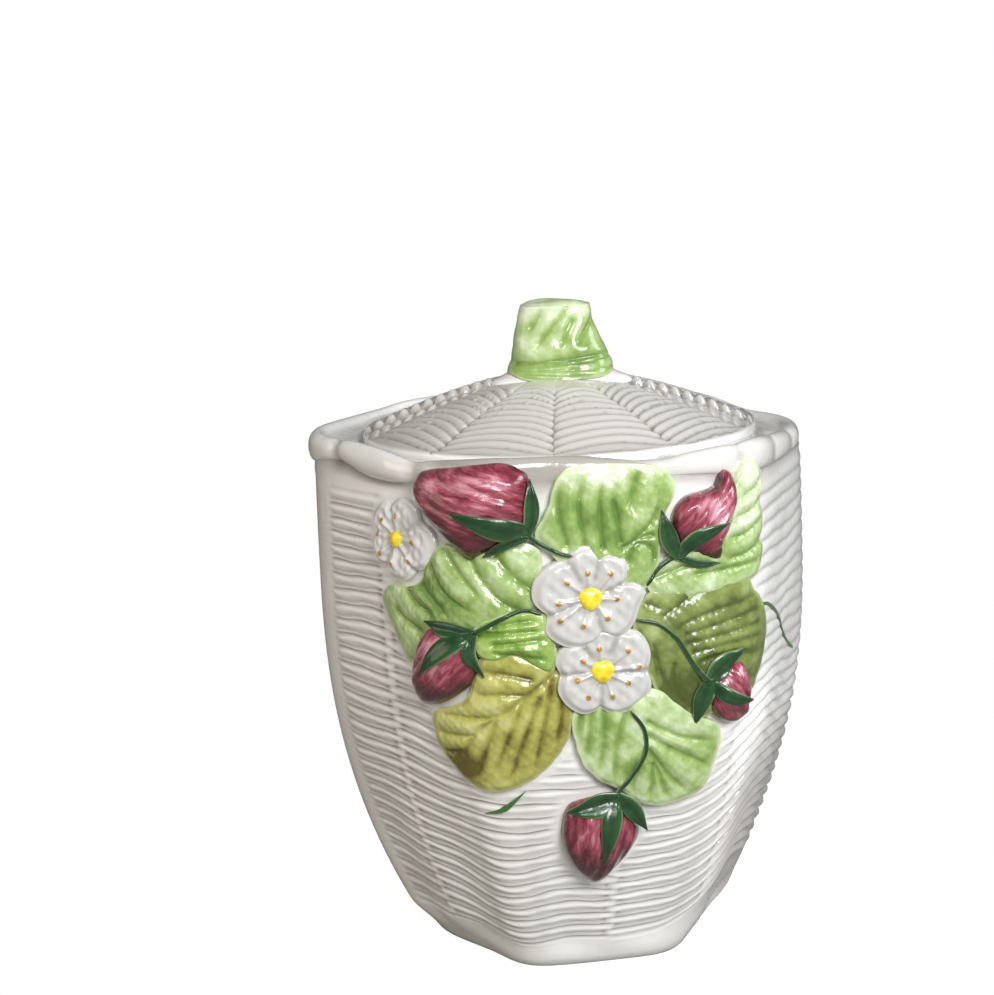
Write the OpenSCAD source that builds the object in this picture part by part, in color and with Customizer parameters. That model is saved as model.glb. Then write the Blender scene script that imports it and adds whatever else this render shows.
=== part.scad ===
// Covered hexagonal basket jar with a lift-off lid, leaf knob and applied strawberry sprigs.
// Millimetres, +Z up, foot on z = 0, front toward -Y. Wall angles run from the front toward +X.

/* [Jar] */
// Height of the jar at the middle of its wavy rim
jar_h = 138; // [110:1:170]
// Radius over the corners at the foot
foot_r = 40.5; // [32:0.5:48]
// Radius over the corners at the widest part
belly_r = 66; // [58:0.5:80]
// Height from the widest part up to the rim
shoulder_h = 37.7; // [20:0.1:60]
// Fullness of the curve from foot to belly
curve_p = 2.3; // [1.6:0.1:3]
// How far the wall draws in again toward the rim
neck_in = 0.6; // [0:0.1:3]
// Sharpness of the six corners, higher is sharper
round_n = 10; // [6:1:24]
// Angle of the first corner from the front
corner_a = -18; // [-30:1:30]
// Wall thickness
wall_t = 5; // [3.5:0.5:8]
// Thickness of the floor
floor_t = 6; // [4:0.5:10]

/* [Foot and rim] */
// Rounding under the wall at the foot
foot_round = 2.4; // [1:0.2:4]
// Height of the rolled rim
rim_h = 10; // [6:0.5:14]
// How far the rolled rim stands out from the wall
rim_out = 2; // [0.5:0.1:4]
// Height of the rim waves
rim_wave = 1.5; // [0:0.1:3]

/* [Weave] */
// Rows of woven ribs up the wall
rib_rows = 32; // [16:2:36]
// Pitch of the top rows over the pitch of the lowest
rib_grow = 1.46; // [1.1:0.02:2]
// Depth of the grooves between the ribs
rib_d = 1.1; // [0.4:0.1:1.8]
// Height of the smooth band under the weave at the front
weave_low = 6.5; // [3:0.5:14]
// How much higher that band is at the back
weave_back = 6; // [0:0.5:12]
// How much higher it is under the fold by the right corner
weave_fold = 12; // [0:0.5:18]
// Angle of that fold from the front, and its spread
weave_fold_at = [64, 20]; // [5:1:90]
// Smooth margin round each sprig
pad_w = 4; // [2:0.5:8]
// Pitch of the lid's ribs
lid_pitch = 3; // [2:0.1:5]
// Depth of the grooves between the lid's ribs
lid_rib_d = 0.8; // [0.3:0.1:1.2]
// Radius of the valleys along the lid's stakes
stake_r = 9; // [4:0.5:16]
// Angle of the first stake from the front
stake_a = -2; // [-18:1:18]

/* [Lid] */
// Radius of the lid at its edge
lid_r = 52; // [46:0.5:54]
// Rise of the lid from its edge to its middle
lid_rise = 14; // [8:0.5:22]
// Thickness of the lid
lid_t = 4.5; // [3:0.5:7]
// Height of the lid's edge
lid_edge = 4.4; // [3:0.2:7]
// Depth of the locating flange under the lid
flange_h = 7; // [4:0.5:12]
// Thickness of the locating flange
flange_t = 3.5; // [2.5:0.5:5]
// Width of the ledge the lid rests on
ledge_w = 7; // [5:0.5:10]
// Thickness of the ledge
ledge_t = 5; // [3:0.5:8]
// Gap round the lid's edge
edge_gap = 1.2; // [0.8:0.1:2]
// Gap round the locating flange
flange_gap = 1; // [0.6:0.1:2]
// Gap left by the glaze between lid and ledge
seat_gap = 0.3; // [0.2:0.1:0.6]
// How far the lid's edge lies below the rim
lid_low = 0.6; // [0:0.1:3]

/* [Knob] */
// Height of the knob above the middle of the lid
knob_h = 19; // [12:0.5:30]
// Width of the knob at its top
knob_top_w = 17; // [10:0.5:26]
// Width of the knob at its base
knob_base_w = 33; // [20:0.5:40]
// Depth of the knob from front to back as a share of its width
knob_depth = 0.72; // [0.4:0.02:1]
// Thickness of the leaf wrapped over the knob
knob_leaf_t = 2.6; // [1.6:0.2:4]
// Height of the bare core showing under the leaf
knob_skirt = 2.6; // [1:0.2:5]
// How far the knob is set into the top of the lid
knob_sink = 2.4; // [1:0.1:4]

/* [Leaves] */
// Thickness of a leaf at its middle
leaf_t = 2.4; // [1.4:0.1:4]
// Thickness of a leaf at its margin
leaf_edge = 1; // [0.6:0.1:2]
// How much higher a leaf lies where it covers another
leaf_step = 1.6; // [1:0.1:3]
// Depth of the teeth round a leaf as a share of its radius
leaf_tooth = 0.05; // [0:0.01:0.12]
// Top leaf: angle round the jar, turn
leaf_top_dir = [10, 90]; // [-180:1:180]
// Top leaf: distance of its middle below the rim
leaf_top_drop = 9; // [0:0.5:100]
// Top leaf: length, width
leaf_top_size = [33, 31]; // [10:0.5:60]
// Upper right leaf: angle round the jar, turn
leaf_upper_right_dir = [32, 62]; // [-180:1:180]
// Upper right leaf: distance of its middle below the rim
leaf_upper_right_drop = 9; // [0:0.5:100]
// Upper right leaf: length, width
leaf_upper_right_size = [31, 27]; // [10:0.5:60]
// Right leaf: angle round the jar, turn
leaf_right_dir = [31, -30]; // [-180:1:180]
// Right leaf: distance of its middle below the rim
leaf_right_drop = 39; // [0:0.5:100]
// Right leaf: length, width
leaf_right_size = [36, 30]; // [10:0.5:60]
// Lower right leaf: angle round the jar, turn
leaf_lower_right_dir = [18, -42]; // [-180:1:180]
// Lower right leaf: distance of its middle below the rim
leaf_lower_right_drop = 63; // [0:0.5:100]
// Lower right leaf: length, width
leaf_lower_right_size = [36, 30]; // [10:0.5:60]
// Lower left leaf: angle round the jar, turn
leaf_lower_left_dir = [-14, 228]; // [-180:1:360]
// Lower left leaf: distance of its middle below the rim
leaf_lower_left_drop = 56; // [0:0.5:100]
// Lower left leaf: length, width
leaf_lower_left_size = [36, 30]; // [10:0.5:60]
// Left leaf: angle round the jar, turn
leaf_left_dir = [-8, 200]; // [-180:1:360]
// Left leaf: distance of its middle below the rim
leaf_left_drop = 34; // [0:0.5:100]
// Left leaf: length, width
leaf_left_size = [23, 20]; // [10:0.5:60]
// Upper left leaf: angle round the jar, turn
leaf_upper_left_dir = [-23, 192]; // [-180:1:360]
// Upper left leaf: distance of its middle below the rim
leaf_upper_left_drop = 23; // [0:0.5:100]
// Upper left leaf: length, width
leaf_upper_left_size = [40, 28]; // [10:0.5:60]

/* [Strawberries] */
// Height a strawberry stands off the wall
berry_h = 8; // [5:0.5:12]
// Upper left strawberry: angle round the jar, turn
berry_upper_left_dir = [-19, 154]; // [-180:0.5:360]
// Upper left strawberry: distance of its middle below the rim
berry_upper_left_drop = 1.5; // [0:0.5:100]
// Upper left strawberry: length, width
berry_upper_left_size = [29, 20]; // [8:0.5:40]
// Upper right strawberry: angle round the jar, turn
berry_upper_right_dir = [32, 54]; // [-180:0.5:360]
// Upper right strawberry: distance of its middle below the rim
berry_upper_right_drop = 5; // [0:0.5:100]
// Upper right strawberry: length, width
berry_upper_right_size = [24, 15]; // [8:0.5:40]
// Left strawberry: angle round the jar, turn
berry_left_dir = [-24, 241]; // [-180:0.5:360]
// Left strawberry: distance of its middle below the rim
berry_left_drop = 40; // [0:0.5:100]
// Left strawberry: length, width
berry_left_size = [24, 16]; // [8:0.5:40]
// Right strawberry: angle round the jar, turn
berry_right_dir = [36, 300]; // [-180:0.5:360]
// Right strawberry: distance of its middle below the rim
berry_right_drop = 52; // [0:0.5:100]
// Right strawberry: length, width
berry_right_size = [20, 15]; // [8:0.5:40]
// Bottom strawberry: angle round the jar, turn
berry_bottom_dir = [7, 262]; // [-180:0.5:360]
// Bottom strawberry: distance of its middle below the rim
berry_bottom_drop = 86; // [0:0.5:100]
// Bottom strawberry: length, width
berry_bottom_size = [26, 20]; // [8:0.5:40]
// Length of the sepals as a share of the strawberry's width
sepal_share = 0.72; // [0.4:0.02:1]
// Thickness of the sepals
sepal_t = 1.3; // [0.8:0.1:2]
// Thickness of a stem
stem_d = 2.2; // [1.4:0.1:4]
// Bow of the upper left stem
stem_upper_left_bow = 0.8; // [-12:0.1:12]
// Direction in which the upper left stem leaves its blossom
stem_upper_left_from = 100; // [-180:5:360]
// Bow of the upper right stem
stem_upper_right_bow = 0.5; // [-12:0.1:12]
// Direction in which the upper right stem leaves its blossom
stem_upper_right_from = 5; // [-180:5:360]
// Bow of the left stem
stem_left_bow = 2; // [-12:0.1:12]
// Direction in which the left stem leaves its blossom
stem_left_from = 200; // [-180:5:360]
// Bow of the right stem
stem_right_bow = -2.5; // [-12:0.1:12]
// Direction in which the right stem leaves its blossom
stem_right_from = -40; // [-180:5:360]
// Bow of the bottom stem
stem_bottom_bow = -7.5; // [-12:0.1:12]
// Direction in which the bottom stem leaves its blossom
stem_bottom_from = -65; // [-180:5:360]

/* [Blossoms] */
// Height of a blossom at its middle
blossom_h = 4.4; // [2.5:0.1:7]
// Diameter of a blossom's yellow centre
centre_d = 6; // [4:0.2:9]
// Height of a blossom's yellow centre
centre_h = 1.8; // [0.8:0.1:3]
// Upper blossom: angle round the jar, turn
blossom_upper_dir = [5, 98]; // [-180:1:360]
// Upper blossom: distance of its middle below the rim
blossom_upper_drop = 23; // [0:0.5:100]
// Upper blossom: diameter
blossom_upper_d = 25; // [12:0.5:40]
// Lower blossom: angle round the jar, turn
blossom_lower_dir = [8, 270]; // [-180:1:360]
// Lower blossom: distance of its middle below the rim
blossom_lower_drop = 42; // [0:0.5:100]
// Lower blossom: diameter
blossom_lower_d = 23; // [12:0.5:40]
// Left blossom: angle round the jar, turn
blossom_left_dir = [-38, 80]; // [-180:1:360]
// Left blossom: distance of its middle below the rim
blossom_left_drop = 11; // [0:0.5:100]
// Left blossom: diameter
blossom_left_d = 23; // [12:0.5:40]

/* [Output] */
// Piece to draw, or all of them

/* [Hidden] */
$fn = 96;
belly_z = jar_h - shoulder_h;
rim_z = jar_h - rim_h;
seat_z = jar_h - lid_edge - lid_low;
lid_z = seat_z + seat_gap;
lid_top = lid_z + lid_edge + lid_rise;
seat_r = lid_r + edge_gap;
mouth_r = seat_r - ledge_w;
flange_r = mouth_r - flange_gap;
knob_z = lid_top - knob_sink;
knob_top = lid_top + knob_h;
knob_crown = 0.8;
key = 0.4;
deep = 2;
function spot(dir, drop) = [dir[0], rim_z - drop, dir[1]];
leaf_top_at = spot(leaf_top_dir, leaf_top_drop);
leaf_upper_right_at = spot(leaf_upper_right_dir, leaf_upper_right_drop);
leaf_right_at = spot(leaf_right_dir, leaf_right_drop);
leaf_lower_right_at = spot(leaf_lower_right_dir, leaf_lower_right_drop);
leaf_lower_left_at = spot(leaf_lower_left_dir, leaf_lower_left_drop);
leaf_left_at = spot(leaf_left_dir, leaf_left_drop);
leaf_upper_left_at = spot(leaf_upper_left_dir, leaf_upper_left_drop);
berry_upper_left_at = spot(berry_upper_left_dir, berry_upper_left_drop);
berry_upper_right_at = spot(berry_upper_right_dir, berry_upper_right_drop);
berry_left_at = spot(berry_left_dir, berry_left_drop);
berry_right_at = spot(berry_right_dir, berry_right_drop);
berry_bottom_at = spot(berry_bottom_dir, berry_bottom_drop);
blossom_upper_at = spot(blossom_upper_dir, blossom_upper_drop);
blossom_lower_at = spot(blossom_lower_dir, blossom_lower_drop);
blossom_left_at = spot(blossom_left_dir, blossom_left_drop);
glaze = "#F1EEE8";
leaf_green = "#A9C46C";
olive_green = "#A5A04A";
berry_red = "#9B3B52";
sepal_green = "#1F5A30";
yolk = "#F0CC2E";

// Rounded hexagon: power mean of the six face directions, 1 at a corner
function hex_sum(a, k = 0) = k > 5 ? 0
    : pow(max(0, cos(a - corner_a - 30 - 60 * k)), round_n) + hex_sum(a, k + 1);
function hexf(a) = cos(30) * pow(2, 1 / round_n) / pow(hex_sum(a), 1 / round_n);

// Corner radius of the wall at a height
function swell(z) = 1 - pow(1 - max(z, 0) / belly_z, curve_p);
function draw_in(z) = neck_in * pow((z - belly_z) / (jar_h - belly_z), 2);
function belly(z) = z < belly_z ? foot_r + (belly_r - foot_r) * swell(z) : belly_r - draw_in(z);

// Point on the wall, its outward direction, and a point standing off it
function polar(r, a, z) = [r * sin(a), -r * cos(a), z];
function wall(a, z) = polar(belly(z) * hexf(a), a, z);
function unit(v) = v / norm(v);
function out_dir(a, z) = unit(cross(wall(a + 1, z) - wall(a - 1, z), wall(a, z + 1) - wall(a, z - 1)));
function off_wall(a, z, h) = wall(a, z) + h * out_dir(a, z);
function mm_per_deg(at) = belly(at[1]) * hexf(at[0]) * PI / 180;

// Local plan position on the wall turned into wall angle and height
function place(at, p) = let (c = cos(at[2]), s = sin(at[2]))
    [at[0] + (p[0] * c - p[1] * s) / mm_per_deg(at), at[1] + p[0] * s + p[1] * c];
function set_on(at, p, h) = let (q = place(at, p)) off_wall(q[0], q[1], h);

// Closed solid from a pole, rings of equal length and a second pole
module skin(p0, rings, p1) {
    n = len(rings[0]);
    m = len(rings);
    last = 1 + n * m;
    points = concat([p0], [for (g = rings) each g], [p1]);
    low = [for (j = [0:n - 1]) [0, 1 + j, 1 + (j + 1) % n]];
    side = [for (i = [0:m - 2], j = [0:n - 1]) let (a = 1 + i * n + j, b = 1 + i * n + (j + 1) % n)
        each [[a, a + n, b + n], [a, b + n, b]]];
    high = [for (j = [0:n - 1]) let (q = 1 + (m - 1) * n) [q + j, last, q + (j + 1) % n]];
    polyhedron(points = points, faces = concat(low, side, high), convexity = 6);
}

// Relief on the wall: bottom keyed into the wall, top at the given heights
function plan(s, t, size, tooth, egg) = let (l = size[0] / 2, w = size[1] / 2)
    let (r = 1 / sqrt(pow(cos(t) / l, 2) + pow(sin(t) / w, 2)))
    let (f = 1 + tooth * cos(12 * t) - egg * cos(t) * pow(sin(t), 2))
    [s * r * f * cos(t), s * r * f * sin(t)];

// Jar
function wave(a) = rim_wave * cos(12 * (a - corner_a));
function lip(a, out, f) = polar(belly(rim_z) * hexf(a) + out, a, rim_z + f * (rim_h + wave(a)));
function inner(a, z) = polar(belly(z) * hexf(a) - wall_t, a, z);

pads = [for (p = [
    [leaf_top_at, leaf_top_size], [leaf_upper_right_at, leaf_upper_right_size], [leaf_right_at, leaf_right_size],
    [leaf_lower_right_at, leaf_lower_right_size], [leaf_lower_left_at, leaf_lower_left_size],
    [leaf_left_at, leaf_left_size], [leaf_upper_left_at, leaf_upper_left_size],
    [berry_upper_left_at, berry_upper_left_size], [berry_upper_right_at, berry_upper_right_size],
    [berry_left_at, berry_left_size], [berry_right_at, berry_right_size], [berry_bottom_at, berry_bottom_size],
    [blossom_upper_at, [1, 1] * blossom_upper_d], [blossom_lower_at, [1, 1] * blossom_lower_d],
    [blossom_left_at, [1, 1] * blossom_left_d]
]) [p[0], p[1], mm_per_deg(p[0])]];

// Woven wall: ribs on a pitch that grows upward; alternate corners hold them half a pitch apart,
// and they fade out in a smooth pad round each sprig
weave_top = rim_z - 0.5;
function turned(a) = (a + 540) % 360 - 180;
function fold(a) = exp(-pow(turned(a - weave_fold_at[0]) / weave_fold_at[1], 2));
function foot_line(a) = weave_low + weave_back * pow(sin(a / 2), 2) + weave_fold * fold(a);
function rib_level(i) = (pow(rib_grow, i / (2 * rib_rows)) - 1) / (rib_grow - 1);
function rib_z(a, i) = foot_line(a) + (weave_top - foot_line(a)) * rib_level(i);
function past(p, a, z) = let (c = cos(p[0][2]), s = sin(p[0][2]))
    let (x = turned(a - p[0][0]) * p[2], y = z - p[0][1])
    let (e = norm([(x * c + y * s) / p[1][0], (y * c - x * s) / p[1][1]]) * 2)
    norm([x, y]) * (1 - 1 / max(e, 0.01));
function bare(a, z) = min(1, max(0, min([for (p = pads) past(p, a, z)]) / pad_w - 1));
function strand(i, j) = j % 10 == 5 ? 0.5 : (i + floor((j + 5) / 10)) % 2;
module jar_body() {
    cols = [for (i = [0:59]) corner_a + 6 * i];
    rows = 2 * rib_rows;
    woven = [for (i = [0:rows]) [for (j = [0:len(cols) - 1]) let (a = cols[j], z = rib_z(a, i))
        off_wall(a, z, i % rows == 0 ? 0 : -rib_d * strand(i, j) * bare(a, z))]];
    foot = [[foot_r - foot_round, 0], [foot_r - 0.3 * foot_round, 0.3 * foot_round]];
    roll = [[0.75, 0.22], [1, 0.46], [0.85, 0.72], [0.15, 0.92], [-1, 1], [-2.1, 0.93]];
    neck = [[seat_r + 0.6, seat_z + 2.6], [seat_r - 1, seat_z + 0.6], [mouth_r - 1, seat_z + 0.6],
        [mouth_r - 1, seat_z - ledge_t]];
    under_z = seat_z - ledge_t - 9;
    inside = [for (i = [0:6]) under_z + (floor_t + 9 - under_z) * i / 6];
    base = [[1.5, 3.5], [4.5, 1], [9, 0]];
    base_r = belly(floor_t + 9);
    rings = concat(
        [for (f = foot) [for (a = cols) polar(f[0] * hexf(a), a, f[1])]],
        [[for (a = cols) wall(a, foot_round)]],
        woven,
        [for (q = roll) [for (a = cols) lip(a, q[0] * rim_out, q[1])]],
        [for (q = neck) [for (a = cols) polar(q[0], a, q[1])]],
        [for (z = inside) [for (a = cols) inner(a, z)]],
        [for (q = base) [for (a = cols) polar(base_r * hexf(a) - wall_t - q[0], a, floor_t + q[1])]]
    );
    color(glaze) difference() {
        skin([0, 0, 0], rings, [0, 0, floor_t]);
        translate([0, 0, seat_z]) cylinder(r = seat_r, h = 2.4);
        translate([0, 0, seat_z - ledge_t - 4]) cylinder(r = mouth_r, h = ledge_t + 5);
    }
}

// Lid
function dome(r) = lid_top - lid_rise * pow(r / lid_r, 1.7);
module lid_shell() {
    ribs_in = knob_base_w / 2 + 2;
    ribs = 2 * floor((lid_r - 4 - ribs_in) / lid_pitch);
    crown = [for (i = [0:3]) [ribs_in * i / 4, dome(ribs_in * i / 4)]];
    woven = [for (i = [0:ribs]) let (r = ribs_in + i * lid_pitch / 2) [r, dome(r) - lid_rib_d * (i % 2)]];
    top = concat(crown, woven, [[lid_r - 1, dome(lid_r - 1)]]);
    edge = [[lid_r, dome(lid_r) - 0.8], [lid_r, lid_z + 0.8], [lid_r - 0.8, lid_z]];
    flange = [[flange_r, lid_z], [flange_r, lid_z - flange_h], [flange_r - flange_t, lid_z - flange_h]];
    bowl_r = flange_r - flange_t;
    under = [for (i = [8:-1:0]) [bowl_r * i / 8, dome(bowl_r * i / 8) - lid_t]];
    color(glaze) difference() {
        rotate_extrude() polygon(concat(top, edge, flange, under));
        for (k = [0:9]) rotate(stake_a + 36 * k) stake_valley(knob_base_w / 2 - 2.5, lid_r - 1);
    }
}

// Round valley over a chord of the dome, deepest half way out
module stake_valley(from, to) {
    drop = dome(from) - dome(to);
    translate([0, -from, dome(from)]) rotate([90 + atan2(drop, to - from), 0, 0])
        translate([0, stake_r, 0]) cylinder(r = stake_r, h = norm([to - from, drop]));
}

// Knob: rounded blocks of shrinking width
function knob_half(z) = let (f = max(0, (knob_top - z) / (knob_top - knob_z)))
    knob_top_w / 2 + (knob_base_w - knob_top_w) / 2 * pow(f, 1.3);
function squared(t) = 1 / pow(pow(abs(cos(t)), 3) + pow(abs(sin(t)), 3), 1 / 3);
function block(half, t, z) = [half * squared(t) * cos(t), half * knob_depth * squared(t) * sin(t), z];
function skirt(t) = knob_z + knob_skirt + 1.4 - 1.2 * pow(sin(t), 2) + 0.7 * cos(4 * t);
module knob_core() {
    ts = [for (i = [0:31]) 11.25 * i];
    flare = [[knob_z - 0.8, 1.6], [knob_z, 1.4], [knob_z + 1.5, 0]];
    top_z = knob_top - knob_leaf_t;
    up = [for (i = [0:5]) knob_z + 3 + (top_z - 1.2 - knob_z - 3) * i / 5];
    cover = knob_leaf_t - key;
    rings = concat(
        [for (q = flare) [for (t = ts) block(knob_half(q[0]) + q[1], t, q[0])]],
        [for (z = up) [for (t = ts) block(knob_half(z) - cover, t, z)]],
        [[for (t = ts) block((knob_half(top_z) - cover) * knob_crown, t, top_z)]]
    );
    color(glaze) skin([0, 0, knob_z - 0.8], rings, [0, 0, top_z]);
}
module knob_leaf() {
    ts = [for (i = [0:31]) 11.25 * i];
    in_z = knob_top - knob_leaf_t - key;
    steps = [0:0.25:1];
    cave = concat(
        [[for (t = ts) block((knob_half(in_z) - knob_leaf_t) * knob_crown, t, in_z)]],
        [for (f = steps) [for (t = ts) let (z = in_z - 1.2 + (skirt(t) - in_z + 1.2) * f)
            block(knob_half(z) - knob_leaf_t, t, z)]]
    );
    outside = concat(
        [for (f = steps) [for (t = ts) let (z = skirt(t) + 1 + (knob_top - 2.6 - skirt(t)) * f)
            block(knob_half(z), t, z)]],
        [[for (t = ts) block(knob_half(knob_top) * (knob_crown + 0.06), t, knob_top - 0.4)]],
        [[for (t = ts) block(knob_half(knob_top) * 0.5, t, knob_top)]]
    );
    color(leaf_green) skin([0, 0, in_z], concat(cave, outside), [0, 0, knob_top]);
}

// Leaf: low mound with a toothed margin, rooted in the wall
module leaf(at, size, lift, root) {
    ts = [for (i = [0:23]) 15 * i];
    full = leaf_t + lift;
    tops = [[1, leaf_edge + lift], [0.85, leaf_edge + 0.6 + lift], [0.55, full], [0.25, full - 0.3]];
    rings = concat(
        [for (s = [0.5, 1]) [for (t = ts) set_on(at, plan(s, t, size, leaf_tooth, 0), -root)]],
        [for (q = tops) [for (t = ts) set_on(at, plan(q[0], t, size, leaf_tooth, 0), q[1])]]
    );
    skin(set_on(at, [0, 0], -root), rings, set_on(at, [0, 0], full - 0.5));
}
module form_upper_right(root = deep) { leaf(leaf_upper_right_at, leaf_upper_right_size, 0, root); }
module form_right(root = deep) { leaf(leaf_right_at, leaf_right_size, 0.2, root); }
module form_upper_left(root = deep) { leaf(leaf_upper_left_at, leaf_upper_left_size, 0, root); }
module form_lower_left(root = deep) { leaf(leaf_lower_left_at, leaf_lower_left_size, 0.2, root); }
module form_top(root = deep) { leaf(leaf_top_at, leaf_top_size, leaf_step, root); }
module form_lower_right(root = deep) { leaf(leaf_lower_right_at, leaf_lower_right_size, leaf_step, root); }
module form_left(root = deep) { leaf(leaf_left_at, leaf_left_size, leaf_step, root); }
module leaf_upper_right() { color(leaf_green) form_upper_right(key); }
module leaf_upper_left() { color(leaf_green) form_upper_left(key); }
module leaf_lower_left() { color(olive_green) form_lower_left(key); }
module leaf_right() {
    color(olive_green) difference() {
        form_right(key);
        form_upper_right();
    }
}
module leaf_top() {
    color(leaf_green) difference() {
        form_top(key);
        form_upper_right();
    }
}
module leaf_lower_right() {
    color(leaf_green) difference() {
        form_lower_right(key);
        form_right();
    }
}
module leaf_left() {
    color(leaf_green) difference() {
        form_left(key);
        form_upper_left();
        form_lower_left();
    }
}

// Blossom: five round petals lying over the leaves, and its domed centre
function petal(s, t, d) = let (r = s * d / 2 * (0.72 + 0.28 * pow(abs(cos(2.5 * t)), 0.7)))
    [r * cos(t), r * sin(t)];
module blossom(at, d, lift, root) {
    ts = [for (i = [0:39]) 9 * i];
    top = blossom_h + lift;
    tops = [[1, top - 2.2], [0.88, top - 1], [0.6, top - 0.2], [0.3, top - 0.6]];
    rings = concat(
        [for (s = [0.5, 1]) [for (t = ts) set_on(at, petal(s, t, d), -root)]],
        [for (q = tops) [for (t = ts) set_on(at, petal(q[0], t, d), q[1])]]
    );
    skin(set_on(at, [0, 0], -root), rings, set_on(at, [0, 0], top - 0.6));
}
module centre(at, lift) {
    w = out_dir(at[0], at[1]);
    ts = [for (i = [0:23]) 15 * i];
    foot = blossom_h + lift - 0.6;
    steps = [[1, -1.4], [1, 0.1], [0.92, 0.5], [0.7, 0.8], [0.4, 0.96]];
    function rim(q, t) = set_on(at, [cos(t), sin(t)] * q[0] * centre_d / 2, 0);
    rings = [for (q = steps) [for (t = ts) rim(q, t) + w * (foot + (q[1] > 0 ? q[1] * centre_h : q[1]))]];
    skin(off_wall(at[0], at[1], foot - 1.4), rings, off_wall(at[0], at[1], foot + centre_h));
}
module flower_lower(root = deep) { blossom(blossom_lower_at, blossom_lower_d, leaf_step, root); }
module flower_upper(root = deep) { blossom(blossom_upper_at, blossom_upper_d, leaf_step + 0.8, root); }
module flower_left(root = deep) { blossom(blossom_left_at, blossom_left_d, 0, root); }
module blossom_lower() {
    color(glaze) difference() {
        flower_lower(key);
        form_right();
        form_lower_right();
        form_lower_left();
        form_left();
    }
}
module blossom_upper() {
    color(glaze) difference() {
        flower_upper(key);
        form_upper_left();
        form_left();
        form_top();
        flower_lower();
    }
}
module blossom_left() {
    color(glaze) difference() {
        flower_left(key);
        form_upper_left();
    }
}
module centre_lower() {
    color(yolk) difference() {
        centre(blossom_lower_at, leaf_step);
        flower_lower();
    }
}
module centre_upper() {
    color(yolk) difference() {
        centre(blossom_upper_at, leaf_step + 0.8);
        flower_upper();
    }
}
module centre_left() {
    color(yolk) difference() {
        centre(blossom_left_at, 0);
        flower_left();
    }
}

// Strawberry: half-round fruit, broad at the calyx and narrower at the tip
function berry_top(s) = 0.8 + (berry_h - 0.8) * pow(max(0, 1 - pow(s, 2.2)), 0.6);
module berry(at, size, root = deep) {
    ts = [for (i = [0:23]) 15 * i];
    rings = concat(
        [for (s = [0.5, 1]) [for (t = ts) set_on(at, plan(s, t, size, 0, 0.3), -root)]],
        [for (s = [1, 0.94, 0.8, 0.55, 0.28])
            [for (t = ts) set_on(at, plan(s, t, size, 0, 0.3), berry_top(s))]]
    );
    skin(set_on(at, [0, 0], -root), rings, set_on(at, [0, 0], berry_top(0)));
}
module berry_upper_left() {
    color(berry_red) difference() {
        berry(berry_upper_left_at, berry_upper_left_size, key);
        form_upper_left();
    }
}
module berry_upper_right() {
    color(berry_red) difference() {
        berry(berry_upper_right_at, berry_upper_right_size, key);
        form_upper_right();
        form_top();
    }
}
module berry_left() {
    color(berry_red) difference() {
        berry(berry_left_at, berry_left_size, key);
        form_upper_left();
        form_lower_left();
        form_left();
    }
}
module berry_right() {
    color(berry_red) difference() {
        berry(berry_right_at, berry_right_size, key);
        form_right();
        form_lower_right();
    }
}
module berry_bottom() {
    color(berry_red) difference() {
        berry(berry_bottom_at, berry_bottom_size, key);
        form_lower_right();
    }
}

// Calyx: three pointed sepals lying on the shoulder of the fruit
function fruit_s(p, size) = sqrt(pow(2 * p[0] / size[0], 2) + pow(2 * p[1] / size[1], 2));
function fruit_h(p, size) = max(leaf_t + 0.6, berry_top(min(1, fruit_s(p, size))));
function star(t) = 0.22 + 0.78 * pow(max(0, max(cos(t), max(cos(t - 68), cos(t + 68)))), 14);
function sepal(s, t, size) = let (r = s * star(t) * sepal_share * size[1])
    [r * cos(t) - 0.42 * size[0], r * sin(t)];
module calyx(at, size) {
    ts = [for (i = [0:39]) 9 * i];
    hub = sepal(0, 0, size);
    low = [for (s = [0.5, 1]) [for (t = ts) let (p = sepal(s, t, size))
        set_on(at, p, fruit_h(p, size) - 1.2)]];
    top = [for (s = [1, 0.7, 0.35]) [for (t = ts) let (p = sepal(s, t, size))
        set_on(at, p, fruit_h(p, size) + sepal_t * (1.15 - 0.6 * s))]];
    skin(set_on(at, hub, fruit_h(hub, size) - 1.2), concat(low, top),
        set_on(at, hub, fruit_h(hub, size) + sepal_t * 1.2));
}
module calyx_upper_left() {
    color(sepal_green) difference() {
        calyx(berry_upper_left_at, berry_upper_left_size);
        berry(berry_upper_left_at, berry_upper_left_size);
        form_upper_left();
    }
}
module calyx_upper_right() {
    color(sepal_green) difference() {
        calyx(berry_upper_right_at, berry_upper_right_size);
        berry(berry_upper_right_at, berry_upper_right_size);
        form_upper_right();
        form_top();
    }
}
module calyx_left() {
    color(sepal_green) difference() {
        calyx(berry_left_at, berry_left_size);
        berry(berry_left_at, berry_left_size);
        form_upper_left();
        form_left();
    }
}
module calyx_right() {
    color(sepal_green) difference() {
        calyx(berry_right_at, berry_right_size);
        berry(berry_right_at, berry_right_size);
        form_right();
        form_lower_right();
    }
}
module calyx_bottom() {
    color(sepal_green) difference() {
        calyx(berry_bottom_at, berry_bottom_size);
        berry(berry_bottom_at, berry_bottom_size);
        form_lower_right();
    }
}

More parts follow.
